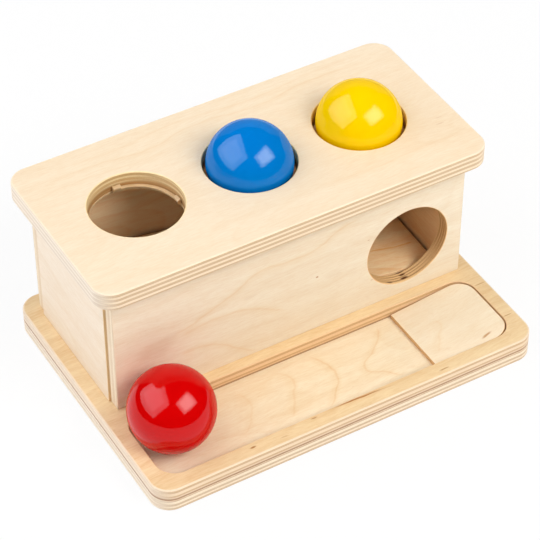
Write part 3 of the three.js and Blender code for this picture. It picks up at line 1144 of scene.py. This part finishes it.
@dataclass
class Board:
    """A plywood board with eased arrises, rounded corners and cuts, which stands for one CAD node.

    Attributes:
        node: Name of the CAD node, whose box gives the board's size.
        stand: How the board stands.
        veneer: Finish of its faces.
        edge: Finish of its edges.
        slot: Name of a record slot for its finish; not used.
        corner: Radius of its corners.
        ease_low: Radius of the arris at its lower face.
        ease_high: Radius of the arris at its upper face.
        cuts: Holes through it.
        bore: Finish of the holes' walls, if they differ from the edges.
        lower: Finish of its lower face, if it differs from the other.
    """

    node: str
    stand: Stand
    veneer: Veneer
    edge: PlyEdge
    slot: str
    corner: float = 0.6 * MM
    ease_low: float = 0.6 * MM
    ease_high: float = 0.6 * MM
    cuts: tuple[Rim, ...] = ()
    bore: PlyEdge | None = None
    lower: Veneer | None = None

    def build(self) -> bpy.types.Object:
        """Builds and dresses the board.

        Returns:
            The piece.
        """
        low, high = (self.stand.lay(corner) for corner in node_corners(self.node))
        shape = bmesh.new()
        outline = RoundedRim(tuple(low[:2]), tuple(high[:2]), self.corner, self.ease_low, self.ease_high)
        bottoms: list[BMEdge] = []
        tops: list[BMEdge] = []
        for number, rim in enumerate((outline, *self.cuts)):
            wall = rim.wall(shape, low.z, high.z)
            for face in wall:
                face.material_index = BORE if number and self.bore else EDGE
            lower, upper = open_rims(wall, (low.z + high.z) / 2)
            bottoms += lower
            tops += upper
        for rim_edges, number in ((bottoms, self.lower_number()), (tops, FACE)):
            filled = bmesh.ops.triangle_fill(shape, use_beauty=True, use_dissolve=False, edges=rim_edges,
                                             normal=(0.0, 0.0, 1.0))
            for face in filled["geom"]:
                if isinstance(face, BMFace):
                    face.material_index = number
        return self.stand_up(shape, low.z, high.z)

    def lower_number(self) -> int:
        """Gives the number of the material on the lower face."""
        return (BORE + 1 if self.bore else BORE) if self.lower else FACE

    def stand_up(self, shape: BMesh, low: float, high: float) -> bpy.types.Object:
        """Stands the drawn board in its place and dresses it.

        Args:
            shape: The board as drawn, lying flat.
            low: Where its plies start.
            high: Where its plies end.

        Returns:
            The piece.
        """
        bmesh.ops.transform(shape, matrix=self.stand.raise_up(), verts=shape.verts)
        bmesh.ops.recalc_face_normals(shape, faces=shape.faces)
        mark_sharp(shape)
        materials = [self.veneer.material(self.node + "_veneer", self.stand),
                     self.edge.material(self.node + "_edge", self.stand, low, high)]
        if self.bore:
            materials.append(self.bore.material(self.node + "_bore", self.stand, low, high))
        if self.lower:
            materials.append(self.lower.material(self.node + "_lower", self.stand))
        piece = finish_piece(shape, self.node, materials)
        even_normals(piece)
        return piece


# Plies from the low face to the high one, in millimetres
PANEL_PLIES = (0.9, 1.9, 2.4, 1.9, 0.9)
BORE_PLIES = (1.2, 0.8, 1.4, 0.5, 1.2, 0.8, 1.3, 0.8)
LID_PLIES = (0.15, 1.35, 1.7, 1.5, 1.6, 1.5, 1.6, 1.5, 0.6)
LOWER_PLIES = (0.7, 1.4, 1.5, 1.4, 2.0, 0.9, 0.1)
UPPER_PLIES = (0.1, 0.8, 1.4, 1.2, 2.2, 1.5, 0.8)

# Edges of the boards
BIRCH_GLUE = shade(150, 108, 68)
SCORCH = shade(104, 58, 26)
BORE_MARKS = (FleckOrShade((77.4, -11.8), (3.6, 1.2), 1.0), FleckOrShade((78.0, -14.4), (3.0, 1.1), 1.0),
              FleckOrShade((77.6, -17.3), (3.6, 1.3), 1.0), FleckOrShade((67.0, -18.2), (2.6, 1.0), 0.8))
PANEL_EDGE = PlyEdge(PANEL_PLIES, shade(244, 226, 198), shade(210, 178, 139), BIRCH_GLUE, ends=0.4, seam=0.2)
# Dark edges of the ramp: painted shade in the gaps where the ramp meets the panels
SHADED_RAMP_EDGE = PlyEdge(PANEL_PLIES, shade(150, 104, 62), shade(116, 74, 40), SCORCH)
END_EDGE = PlyEdge(PANEL_PLIES, shade(240, 212, 166), shade(206, 166, 112), BIRCH_GLUE)
LID_EDGE = PlyEdge(LID_PLIES, shade(250, 231, 203), shade(211, 179, 140), BIRCH_GLUE, ends=0.8, frost=0.4)
# The lid's bores darken into a broad band low down (foot, rise): painted shade round the grip ring in its
# rebate
LID_BORE = PlyEdge(LID_PLIES, shade(254, 230, 178), shade(216, 174, 116), shade(172, 122, 66), ends=0.8,
                   foot=0.95, rise=0.29, seed=13.0)
SAWN_BORE = PlyEdge(BORE_PLIES, shade(248, 211, 154), shade(190, 136, 80), SCORCH, ends=0.9,
                    marks=BORE_MARKS, seed=19.0)
LOWER_EDGE = PlyEdge(LOWER_PLIES, shade(248, 231, 206), shade(209, 180, 146), BIRCH_GLUE, frost=0.2)
UPPER_EDGE = PlyEdge(UPPER_PLIES, shade(242, 220, 190), shade(209, 174, 134), shade(164, 116, 80), ends=0.5,
                     frost=0.25, foot=0.85, seed=5.0)
TRAY_WALL = PlyEdge(UPPER_PLIES, shade(240, 205, 160), shade(210, 168, 120), BIRCH_GLUE, foot=0.7, seed=8.0)
# Darker sides of the wedge: painted shade, for the shade at its low left edge on the tray floor
SHADED_WEDGE_EDGE = PlyEdge(LOWER_PLIES, shade(222, 180, 126), shade(184, 136, 84), BIRCH_GLUE, seed=9.0)

# Other finishes
BEECH = SolidWood(shade(226, 194, 150), shade(196, 150, 102))
CREAM_RUBBER = SoftRubber(shade(218, 186, 142), shade(202, 168, 122))
ZINC_PLATING = PlatedSteel(shade(214, 216, 220), shade(176, 178, 184))


@dataclass
class Base:
    """The two glued layers of the base with the tray, its landing wedge and the screws from below.

    Attributes:
        corner: Radius of the base's corners.
        ease: Radius of its arrises.
        joint: Radius of the arrises where its two layers meet.
        tray_low: Low corner of the tray.
        tray_high: High corner of the tray.
        tray_corner: Radius of the tray's corners.
        tray_ease: Radius of the arris round the tray.
        wedge_low: Thickness of the wedge at its low edge.
        wedge_corner: Radius of the wedge's two right corners.
        wedge_ease: Radius of the wedge's arrises.
        wedge_steps: Number of steps in each of them.
        wedge_turn: Turn from which an edge of the wedge is eased.
        merge_reach: Distance within which corners of the cut wedge are merged.
        countersink: Radius and height of each step of a screw's hole.
    """

    corner: float = 12 * MM
    ease: float = 1.0 * MM
    joint: float = 0.4 * MM
    tray_low: Pair = (-114.3 * MM, -78.5 * MM)
    tray_high: Pair = (114.3 * MM, -26.5 * MM)
    tray_corner: float = 12 * MM
    tray_ease: float = 0.5 * MM
    wedge_low: float = 2.4 * MM
    wedge_corner: float = 11.3 * MM
    wedge_ease: float = 0.4 * MM
    wedge_steps: int = 3
    wedge_turn: float = math.radians(40)
    merge_reach: float = 0.001 * MM
    countersink: tuple[Pair, ...] = (
        (3.7 * MM, 0.0), (3.7 * MM, 0.5 * MM), (1.95 * MM, 2.8 * MM), (1.95 * MM, 8 * MM))

    def build(self) -> None:
        """Builds and dresses every piece of the base."""
        self.lower_layer().build()
        self.upper_layer().build()
        self.wedge()
        plating = ZINC_PLATING.material("zinc_plating")
        for fixing in FIXINGS:
            dress_node("base_screw_" + fixing, plating)

    def lower_layer(self) -> Board:
        """Gives the lower layer, whose top is the floor of the tray.

        Returns:
            The board, not yet built.
        """
        lines = (
            GrowthLine(((1, -29), (10, -40), (11, -51), (4, -62), (-6, -72)), 0.42, crosswise=True),
            GrowthLine(((52, -28), (48, -37), (38, -46), (28, -56), (36, -63), (45, -72)), 0.38,
                       crosswise=True),
            GrowthLine(((-36, -30), (-13, -40), (-19, -54), (-28, -68)), 0.30, crosswise=True),
            GrowthLine(((-56, -34), (-43, -42), (-48, -56), (-60, -66)), 0.20, crosswise=True))
        veneer = Veneer(shade(249, 238, 212), shade(229, 197, 149), seed=3.0, cloud=0.4, contour=0.12,
                        lines=lines)
        screws = [node_middle("base_screw_" + fixing) for fixing in FIXINGS]
        cuts = tuple(RoundCut((screw.x, screw.y), self.countersink) for screw in screws)
        return Board("base_board", Stand.FLAT, veneer, LOWER_EDGE, "base_ply", self.corner, self.ease,
                     self.joint, cuts)

    def upper_layer(self) -> Board:
        """Gives the upper layer, cut through for the tray.

        Returns:
            The board, not yet built.
        """
        flecks_and_shade = (FleckOrShade((-62.3, -82.2), (2.8, 0.9), 0.9), FleckOrShade((-22.3, -80.2), (2.8, 0.7), 0.7),
                  FleckOrShade((6, -79.6), (24, 0.8), 0.9, -2.5), FleckOrShade((61.5, -84.7), (4.5, 0.8), 0.7, 2),
                  FleckOrShade((-43.5, -84), (3.5, 0.5), 0.3), FleckOrShade((119, -36.5), (5, 0.6), 0.6),
                  FleckOrShade((118, -66.5), (4, 0.6), 0.6))
        veneer = Veneer(shade(244, 221, 178), shade(213, 168, 110), seed=11.0, streak=0.8, contour=0.1,
                        flecks_and_shade=flecks_and_shade)
        cut = RoundedRim(self.tray_low, self.tray_high, self.tray_corner, self.joint, self.tray_ease, -1.0)
        return Board("tray_frame", Stand.FLAT, veneer, UPPER_EDGE, "base_ply", self.corner, self.joint,
                     self.ease, (cut,), TRAY_WALL)

    def wedge(self) -> bpy.types.Object:
        """Builds the landing wedge: a block with two round corners, cut to its slope.

        Returns:
            The piece.
        """
        low, high = node_corners("landing_wedge")
        size = high - low
        shape = bmesh.new()
        corners = draw_rectangle(shape, low, high, low.z)
        right = [vert for vert in corners if vert.co.x > low.x + size.x / 2]
        round_corners(shape, right, self.wedge_corner)
        pull(shape, list(shape.faces), (0.0, 0.0, size.z))
        slope = Vector((self.wedge_low - size.z, 0.0, size.x))
        bmesh.ops.bisect_plane(shape, geom=[*shape.verts, *shape.edges, *shape.faces],
                               plane_co=(low.x, low.y, low.z + self.wedge_low), plane_no=slope,
                               clear_outer=True)
        open_edges = [edge for edge in shape.edges if len(edge.link_faces) == 1]
        bmesh.ops.holes_fill(shape, edges=open_edges, sides=0)
        bmesh.ops.remove_doubles(shape, verts=shape.verts, dist=self.merge_reach)
        bmesh.ops.recalc_face_normals(shape, faces=shape.faces)
        number_sides(shape)
        sharp = [edge for edge in shape.edges if edge.calc_face_angle(0.0) > self.wedge_turn]
        ease_edges(shape, sharp, self.wedge_ease, self.wedge_steps)
        lines = (GrowthLine(((69, -44), (82, -48), (76, -58), (69, -69)), 0.2, crosswise=True),)
        patch = FleckOrShade((98.9, -72.6), (4.6, 1.2), 0.8, 14)
        veneer = Veneer(shade(250, 237, 212), shade(232, 204, 162), seed=23.0, contour=0.1, lines=lines,
                        flecks_and_shade=(patch,))
        return finish_block(shape, "landing_wedge", veneer, SHADED_WEDGE_EDGE)


@dataclass
class Walls:
    """The four standing panels of the box, with the round outlet in the front one.

    Attributes:
        outlet: Middle of the outlet, along the box and up.
        outlet_radius: Radius of the outlet.
        outlet_ease: Radius of the arris of the outlet's mouth.
        end_ease: Radius of the arrises of the end panels, which stand out past the long panels on the left.
        light: Colour of the pale wood.
        dark: Colour of its streaks.
    """

    outlet: Pair = (77.4 * MM, 51.8 * MM)
    outlet_radius: float = 27 * MM
    outlet_ease: float = 0.5 * MM
    end_ease: float = 0.5 * MM
    light: Colour = shade(246, 236, 215)
    dark: Colour = shade(228, 201, 165)

    def build(self) -> None:
        """Builds and dresses the four panels."""
        # The right end's inner face is warmer: painted warm light bounced off the ramp inside the box
        warm_lit_inside = Veneer(shade(252, 220, 174), shade(230, 168, 106), seed=47.0, streak=0.4, contour=0.15)
        for board in (self.front(), self.back(), self.end("left_end_panel", 41.0),
                      self.end("right_end_panel", 47.0, warm_lit_inside)):
            board.build()

    def front(self) -> Board:
        """Gives the front panel with its outlet and its strong figure.

        Returns:
            The board, not yet built.
        """
        lines = (
            GrowthLine(((-81, 55), (-68, 57), (-58, 61), (-38, 69), (-16, 78), (-8, 77), (12, 77), (32, 86),
                        (53, 90)), 0.34),
            GrowthLine(((-73, 52), (-58, 55), (-41, 55), (-25, 51), (-13, 45), (-2, 39)), 0.32),
            GrowthLine(((-73, 39), (-61, 39), (-48, 35), (-36, 26), (-22, 17)), 0.32))
        flecks_and_shade = (FleckOrShade((15.9, 55.9), (1.2, 0.9), 0.8), FleckOrShade((-27.6, 61.4), (6, 2), 0.1),
                  FleckOrShade((27.4, 53.4), (8, 4.5), 0.07), FleckOrShade((50.4, 68.4), (1.2, 0.6), 0.5),
                  # The two broad faint flecks at (-87, 51) and (-78, 56) are painted shade of the red ball
                  # on the panel, over a darker streak in the wood there
                  FleckOrShade((-87, 51), (16, 9), 0.14, 6), FleckOrShade((-78, 56), (9, 3), 0.1, 10),
                  FleckOrShade((53.4, 36.4), (1.2, 0.6), 0.4))
        veneer = Veneer(self.light, self.dark, seed=29.0, contour=0.1, lines=lines, flecks_and_shade=flecks_and_shade)
        cut = RoundCut(self.outlet, ((self.outlet_radius, 0.0),) * 2, self.outlet_ease, self.outlet_ease)
        return Board("front_panel", Stand.ACROSS, veneer, PANEL_EDGE, "panel_ply", cuts=(cut,),
                     bore=SAWN_BORE)

    def back(self) -> Board:
        """Gives the plain back panel, whose inner face is warmer: painted warm light bounced about inside
        the box.

        Returns:
            The board, not yet built.
        """
        veneer = Veneer(self.light, self.dark, seed=35.0)
        # The inner face is warmer: painted warm light bounced about inside the box
        warm_lit_inside = Veneer(shade(255, 233, 196), shade(240, 188, 130), seed=35.0, streak=0.9)
        return Board("back_panel", Stand.ACROSS, veneer, PANEL_EDGE, "panel_ply", lower=warm_lit_inside)

    def end(self, node: str, seed: float, warm_lit_inside: Veneer | None = None) -> Board:
        """Gives an end panel.

        Args:
            node: Name of its CAD node.
            seed: Shift of its pattern.
            warm_lit_inside: Finish of its lower face, if that is the inner one and shows, warmer as painted
                light bounced about inside the box.

        Returns:
            The board, not yet built.
        """
        veneer = Veneer(shade(245, 230, 210), shade(229, 202, 167), seed=seed, streak=0.4, contour=0.15)
        return Board(node, Stand.ENDWISE, veneer, END_EDGE, "panel_ply", self.end_ease, self.end_ease,
                     self.end_ease, lower=warm_lit_inside)


@dataclass
class Ramp:
    """The tilted floor inside the box, with the cleat and the rail that carry it.

    Attributes:
        thickness: Thickness of the floor.
        fall: How much it falls per length along the box.
        lean: How much it rises per length towards the back.
        sill: Point that its top passes through, just inside the outlet.
        ease: Radius of its arrises.
        ease_steps: Number of steps in each of them.
        front: How far a face has to look to the front to count to the front edge, which has a veneer.
    """

    thickness: float = 4.4 * MM
    fall: float = 0.154
    lean: float = 0.053
    sill: tuple[float, float, float] = (77.4 * MM, -11.5 * MM, 25.0 * MM)
    ease: float = 0.3 * MM
    ease_steps: int = 2
    front: float = 0.2

    def build(self) -> None:
        """Builds and dresses the ramp and its battens."""
        self.floor()
        dress_node("ramp_rail", BEECH.material("rail_beech"))
        dress_node("ramp_cleat", replace(BEECH, stand=Stand.ENDWISE).material("cleat_beech"))

    def floor(self) -> bpy.types.Object:
        """Builds the floor as a flat board and shears it to its two slopes.

        Returns:
            The piece.
        """
        low, high = node_corners("inner_ramp")
        shape = bmesh.new()
        middle = (low + high) / 2
        place = Matrix.Translation((middle.x, middle.y, -self.thickness / 2)) @ Matrix.Diagonal(
            (high.x - low.x, high.y - low.y, self.thickness, 1.0))
        bmesh.ops.create_cube(shape, size=1.0, matrix=place)
        number_sides(shape)
        ease_edges(shape, list(shape.edges), self.ease, self.ease_steps)
        shape.normal_update()
        for face in shape.faces:
            if face.normal.y < -self.front:
                face.material_index = FACE
        shear = Matrix.Identity(4)
        shear[2][0], shear[2][1] = -self.fall, self.lean
        shear[2][3] = self.sill[2] + self.fall * self.sill[0] - self.lean * self.sill[1]
        bmesh.ops.transform(shape, matrix=shear, verts=shape.verts)
        bmesh.ops.recalc_face_normals(shape, faces=shape.faces)
        line = GrowthLine(((70, 10.2), (84, 9.2), (90, 8.9), (94, 8.8), (102, 9.2)), 0.95, 0.3, 1.2)
        # Painted shade: a long dark band along the ramp's back edge, where it meets the back panel
        joint = FleckOrShade((-50, 70.0), (75, 1.6), 0.95)
        # Warm wood, warmed further as painted light: the warm light bounced about inside the box
        veneer = Veneer(shade(255, 232, 190), shade(238, 182, 120), seed=53.0, streak=0.9, contour=0.35,
                        lines=(line,), flecks_and_shade=(joint,))
        return finish_block(shape, "inner_ramp", veneer, SHADED_RAMP_EDGE)


@dataclass
class Lid:
    """The lid with its three holes, the soft rings in them and the dowels that hold the lid.

    Attributes:
        corner: Radius of the lid's corners.
        ease: Radius of its arrises.
        hole_radius: Radius of the holes.
        rebate_radius: Radius of the rebates under the holes, where the rings sit.
        rebate_depth: Depth of the rebates.
        mouth_ease: Radius of the arris of the holes' mouths.
        ring_nodes: Names of the rings' CAD nodes.
    """

    corner: float = 12 * MM
    ease: float = 1.0 * MM
    hole_radius: float = 27.1 * MM
    rebate_radius: float = 30.1 * MM
    rebate_depth: float = 1.5 * MM
    mouth_ease: float = 0.7 * MM
    ring_nodes: tuple[str, ...] = ("grip_ring_left", "grip_ring_middle", "grip_ring_right")

    def build(self) -> None:
        """Builds and dresses the lid, its rings and its dowels."""
        self.board().build()
        rubber = CREAM_RUBBER.material("cream_rubber")
        for node in self.ring_nodes:
            GripRing(node).build(rubber)
        beech = BEECH.material("dowel_beech")
        for fixing in FIXINGS:
            dress_node("lid_dowel_" + fixing, beech)

    def board(self) -> Board:
        """Gives the lid's board.

        Returns:
            The board, not yet built.
        """
        lines = (
            GrowthLine(((-110, 66), (-80, 70), (-45, 67), (-10, 73), (30, 70), (70, 75), (110, 71)),
                       0.22, 0.7, 4),
            GrowthLine(((-100, 78), (-60, 76), (-20, 80), (30, 77), (80, 81), (118, 79)), 0.18, 0.7, 4),
            GrowthLine(((-115, 60), (-85, 62), (-50, 60), (-25, 61)), 0.15, 0.7, 4),
            GrowthLine(((20, -8), (60, -11), (95, -9), (120, -13)), 0.15, 0.8, 5))
        flecks_and_shade = (FleckOrShade((111, 3), (4, 0.7), 0.25), FleckOrShade((113, 8), (3, 0.6), 0.2))
        veneer = Veneer(shade(246, 230, 204), shade(230, 198, 155), seed=61.0, streak=0.4, cloud=0.35,
                        contour=0.08, lines=lines, flecks_and_shade=flecks_and_shade)
        bore = ((self.rebate_radius, 0.0), (self.rebate_radius, self.rebate_depth),
                (self.hole_radius, self.rebate_depth), (self.hole_radius, 0.0))
        holes = [node_middle(node) for node in self.ring_nodes]
        cuts = tuple(RoundCut((hole.x, hole.y), bore, self.mouth_ease) for hole in holes)
        return Board("lid", Stand.FLAT, veneer, LID_EDGE, "lid_ply", self.corner, self.ease, self.ease, cuts,
                     LID_BORE)


@dataclass
class GripRing:
    """A soft ring: a flange under the lid, and two lips in the hole with a collar and a nub at either end.

    Attributes:
        node: Name of its CAD node.
        outer: Radius of the flange's rim.
        mouth: Radius of the flange's opening.
        thickness: Thickness of the flange.
        lip_side: Radius and height of each corner of a lip's section.
        lip_span: Angle of each lip, in degrees.
        lip_starts: Where the lips start, in degrees.
        nub_side: Radius and height of each corner of a nub, seen from its side.
        nub_width: Width of a nub.
        steps: Number of steps round the whole ring.
        soft: Radius of its edges.
        soft_steps: Number of steps in each of them.
        soft_turn: Turn from which an edge is rounded.
    """

    node: str
    outer: float = 29.85 * MM
    mouth: float = 26.8 * MM
    thickness: float = 1.25 * MM
    lip_side: tuple[Pair, ...] = (
        (26.0 * MM, 0.0), (26.85 * MM, 0.0), (26.85 * MM, 3.2 * MM), (24.6 * MM, 3.2 * MM),
        (24.6 * MM, 2.4 * MM), (26.0 * MM, 2.4 * MM))
    lip_span: float = 88.0
    lip_starts: tuple[float, ...] = (0.0, 180.0)
    nub_side: tuple[Pair, ...] = (
        (24.3 * MM, 3.0 * MM), (26.0 * MM, 0.0), (26.6 * MM, 0.0), (26.6 * MM, 5.0 * MM),
        (25.6 * MM, 5.0 * MM), (24.3 * MM, 4.35 * MM))
    nub_width: float = 4.8 * MM
    steps: int = 180
    soft: float = 0.25 * MM
    soft_steps: int = 3
    soft_turn: float = math.radians(30)

    def build(self, rubber: bpy.types.Material) -> bpy.types.Object:
        """Builds and dresses the ring.

        Args:
            rubber: Its material.

        Returns:
            The piece.
        """
        shape = bmesh.new()
        flange = ((self.mouth, 0.0), (self.outer, 0.0), (self.outer, self.thickness),
                  (self.mouth, self.thickness))
        self.sweep(shape, flange, 0.0, 360.0)
        for start in self.lip_starts:
            self.sweep(shape, self.lip_side, start, self.lip_span)
            for turn in (start, start + self.lip_span):
                self.nub(shape, turn)
        bmesh.ops.recalc_face_normals(shape, faces=shape.faces)
        middle, low = node_middle(self.node), node_corners(self.node)[0]
        bmesh.ops.translate(shape, vec=(middle.x, middle.y, low.z), verts=shape.verts)
        smooth(shape)
        piece = finish_piece(shape, self.node, (rubber,))
        soft = piece.modifiers.new("soft_edges", "BEVEL")
        soft.width, soft.segments = self.soft, self.soft_steps
        soft.limit_method, soft.angle_limit = "ANGLE", self.soft_turn
        even_normals(piece)
        return piece

    def sweep(self, shape: BMesh, corners: Sequence[Pair], start: float, span: float) -> None:
        """Sweeps a section round the hole's axis.

        Args:
            shape: Mesh to draw in, round the origin.
            corners: Radius and height of each corner of the section.
            start: Where the sweep starts, in degrees.
            span: Its angle, in degrees.
        """
        verts = [shape.verts.new((radius, 0.0, rise)) for radius, rise in corners]
        edges = [shape.edges.new((verts[number - 1], verts[number])) for number in range(len(verts))]
        self.turn(shape, verts, start)
        bmesh.ops.spin(shape, geom=verts + edges, cent=(0, 0, 0), axis=(0, 0, 1), angle=math.radians(span),
                       steps=round(self.steps * span / 360), use_merge=span >= 360)
        ends = [edge for edge in shape.edges if edge.is_boundary]
        if ends:
            bmesh.ops.holes_fill(shape, edges=ends, sides=0)

    def nub(self, shape: BMesh, angle: float) -> None:
        """Draws one nub.

        Args:
            shape: Mesh to draw in, round the origin.
            angle: Where the nub stands, in degrees.
        """
        verts = [shape.verts.new((radius, -self.nub_width / 2, rise)) for radius, rise in self.nub_side]
        far = pull(shape, [shape.faces.new(verts)], (0.0, self.nub_width, 0.0))
        self.turn(shape, verts + far, angle)

    def turn(self, shape: BMesh, verts: list[BMVert], angle: float) -> None:
        """Turns corners round the hole's axis by an angle in degrees."""
        turned = Matrix.Rotation(math.radians(angle), 3, "Z")
        bmesh.ops.rotate(shape, cent=(0, 0, 0), matrix=turned, verts=verts)


@dataclass
class Balls:
    """The three lacquered balls.

    Attributes:
        fineness: Number of times that a ball's mesh is divided.
    """

    fineness: int = 6

    def build(self) -> None:
        """Builds and dresses the balls."""
        self.ball("red", Lacquer(shade(206, 1, 2), shade(200, 1, 2), coat=0.64, index=1.36))
        self.ball("blue", Lacquer(shade(0, 122, 205), shade(0, 116, 199)))
        self.ball("yellow", Lacquer(shade(250, 207, 0), shade(246, 201, 0), coat=0.32))

    def ball(self, name: str, lacquer: Lacquer) -> bpy.types.Object:
        """Builds one ball.

        Args:
            name: Name of its colour, which starts the names of its node, body and slot.
            lacquer: Its finish.

        Returns:
            The piece.
        """
        node, slot = name + "_ball", name + "_lacquer"
        low, high = node_corners(node)
        shape = bmesh.new()
        bmesh.ops.create_icosphere(shape, subdivisions=self.fineness, radius=(high.z - low.z) / 2,
                                   matrix=Matrix.Translation((low + high) / 2))
        smooth(shape)
        return finish_piece(shape, node, (lacquer.material(slot),), node)


def direction(azimuth: float, elevation: float) -> Vector:
    """Gives the direction of a lamp or a camera from the object.

    Args:
        azimuth: Degrees from the right, anticlockwise.
        elevation: Degrees above the floor.

    Returns:
        The direction, one metre long.
    """
    turn, lift = math.radians(azimuth), math.radians(elevation)
    return Vector((math.cos(turn) * math.cos(lift), math.sin(turn) * math.cos(lift), math.sin(lift)))


@dataclass(frozen=True)
class Softbox:
    """A large soft lamp.

    Attributes:
        name: Its name.
        way: Its azimuth and elevation from the object, in degrees.
        distance: Its distance from the object.
        size: Its width and height.
        power: Its power in watts.
        colour: Colour of its light.
        gleam_only: Whether it shows in glossy surfaces and lights nothing else.
    """

    name: str
    way: Pair
    distance: float
    size: Pair
    power: float
    colour: Colour
    gleam_only: bool = False

    def hang(self, target: Vector) -> None:
        """Hangs the lamp so that it faces the object.

        Args:
            target: Point that it faces.
        """
        away = direction(*self.way)
        lamp = bpy.data.lights.new(self.name, "AREA")
        lamp.shape, lamp.size, lamp.size_y = "RECTANGLE", *self.size
        lamp.energy, lamp.color = self.power, self.colour
        hung = add_object(self.name, lamp)
        hung.location = target + away * self.distance
        hung.rotation_euler = (-away).to_track_quat("-Z", "Y").to_euler()
        hung.visible_camera = False
        hung.visible_diffuse = not self.gleam_only


# Lamps on the left and on the right, with gleams that only the glossy surfaces show
LEFT = (161.0, 45.0)
RIGHT = (-62.0, 43.5)
COOL: Colour = (0.97, 0.99, 1.05)
WARM: Colour = (1.03, 1.0, 0.95)
LAMPS = (Softbox("left_softbox", LEFT, 1.5, (2.4, 1.8), 19.2, COOL),
         Softbox("left_gleam", LEFT, 1.49, (2.4, 1.8), 40.0, COOL, True),
         Softbox("left_core", LEFT, 1.48, (1.5, 1.1), 11.5, COOL, True),
         Softbox("right_softbox", RIGHT, 1.5, (0.9, 0.7), 14.1, WARM),
         Softbox("right_gleam", RIGHT, 1.49, (1.33, 0.98), 27.5, WHITE, True))


@dataclass
class Studio:
    """The camera, a white table with a white backdrop, the lamps and a dim room.

    Attributes:
        target: Point that the camera looks at.
        azimuth: Turn of the camera round the object, in degrees from the front.
        elevation: Height of the camera as an angle.
        roll: Turn of the picture.
        distance: Distance from the camera to the point it looks at.
        lens: Focal length in millimetres.
        sensor: Width of the camera's sensor in millimetres.
        table_low: Low corner of the table.
        table_high: High corner of the table.
        backdrop: Width and height of the backdrop.
        backdrop_distance: Distance of the backdrop behind the object.
        paper: Colour of the table and the backdrop as other things are lit by them.
        shadow: How much of the object's shadow the white table shows.
        gleam: Level of the table and of the backdrop as glossy surfaces mirror them.
        room: Level of the light that comes from the room all round.
        gloom: Level of the room as glossy surfaces mirror it.
    """

    target: Vector = field(default_factory=lambda: Vector((-5.78, -4.60, 60.0)) * MM)
    azimuth: float = -30.336
    elevation: float = 42.693
    roll: float = -0.0997
    distance: float = 1302.3 * MM
    lens: float = 153.737
    sensor: float = 36.0
    table_low: Pair = (-1.1, -0.55)
    table_high: Pair = (0.7, 0.9)
    backdrop: Pair = (1.5, 0.75)
    backdrop_distance: float = 0.9
    paper: Colour = (0.9, 0.9, 0.9)
    shadow: float = 0.12
    gleam: Pair = (1.6, 0.5)
    room: float = 0.355
    gloom: float = 0.01

    def build(self) -> None:
        """Sets up the camera, the table, the lamps and the room."""
        self.set_camera()
        self.lay_table()
        self.light_room()
        for softbox in LAMPS:
            softbox.hang(self.target)
        bpy.context.scene.view_settings.view_transform = "Standard"
        LOG.info("studio: camera, table, backdrop and %d lamps", len(LAMPS))

    def set_camera(self) -> None:
        """Sets the camera at the photograph's viewing angle."""
        back = direction(self.azimuth - 90, self.elevation)
        lens = bpy.data.cameras.new("camera")
        lens.lens, lens.sensor_width = self.lens, self.sensor
        camera = add_object("camera", lens)
        aim = (-back).to_track_quat("-Z", "Y").to_matrix().to_4x4()
        camera.matrix_world = (Matrix.Translation(self.target + back * self.distance) @ aim
                               @ Matrix.Rotation(math.radians(self.roll), 4, "Z"))
        bpy.context.scene.camera = camera

    def lay_table(self) -> None:
        """Lays the white table and hangs the white backdrop behind it."""
        table, backdrop = bmesh.new(), bmesh.new()
        draw_rectangle(table, self.table_low, self.table_high, 0.0)
        width, height = self.backdrop
        draw_rectangle(backdrop, (-width / 2, 0.0), (width / 2, height), 0.0)
        upright = (Matrix.Rotation(math.radians(self.azimuth), 4, "Z")
                   @ Matrix.Translation((0.0, self.backdrop_distance, 0.0))
                   @ Matrix.Rotation(math.pi / 2, 4, "X"))
        bmesh.ops.transform(backdrop, matrix=upright, verts=backdrop.verts)
        for name, shape, gleam in zip(("table", "backdrop"), (table, backdrop), self.gleam):
            sheet = add_mesh(shape, name, (self.cover(name, gleam),))
            sheet.visible_camera = name == "table"

    def cover(self, name: str, gleam: float) -> bpy.types.Material:
        """Makes the white paper: plain white to look at, with a light shadow, and lit as paper is.

        Args:
            name: Name of what it covers.
            gleam: Its level as glossy surfaces mirror it.

        Returns:
            The material.
        """
        graph = start_material(name + "_paper")
        path = graph.node("LightPath").outputs
        lit = graph.node("BsdfDiffuse", {"Color": self.paper})
        level = graph.span(path["Is Glossy Ray"], 0.0, 1.0, 1.0, gleam)
        white = graph.node("Emission", {"Color": WHITE, "Strength": level})
        mirrored = graph.math("MAXIMUM", path["Is Glossy Ray"], path["Is Transmission Ray"])
        seen = graph.product(path["Is Camera Ray"], 1.0 - self.shadow)
        shown = graph.layer(graph.math("MAXIMUM", mirrored, seen), lit.outputs[0], white.outputs[0])
        graph.node("OutputMaterial", {"Surface": shown})
        return graph.owner

    def light_room(self) -> None:
        """Fills the room with a dim even light, and with white where the camera looks past the table."""
        graph = Graph(bpy.data.worlds.new("room"))
        path = graph.node("LightPath").outputs
        dim, dark, white = (graph.node("Background", {"Color": WHITE, "Strength": level}).outputs[0]
                            for level in (self.room, self.gloom, 1.0))
        lit = graph.layer(path["Is Glossy Ray"], dim, dark)
        seen = graph.math("MAXIMUM", path["Is Camera Ray"], path["Is Transmission Ray"])
        graph.node("OutputWorld", {"Surface": graph.layer(seen, lit, white)})
        bpy.context.scene.world = graph.owner


def main() -> None:
    """Builds the studio and every sub-assembly in order, and reports each piece."""
    logging.basicConfig(level=logging.INFO, format="%(name)s: %(message)s")
    for assembly in (Studio(), Base(), Walls(), Ramp(), Lid(), Balls()):
        assembly.build()


if __name__ == "__main__":
    main()
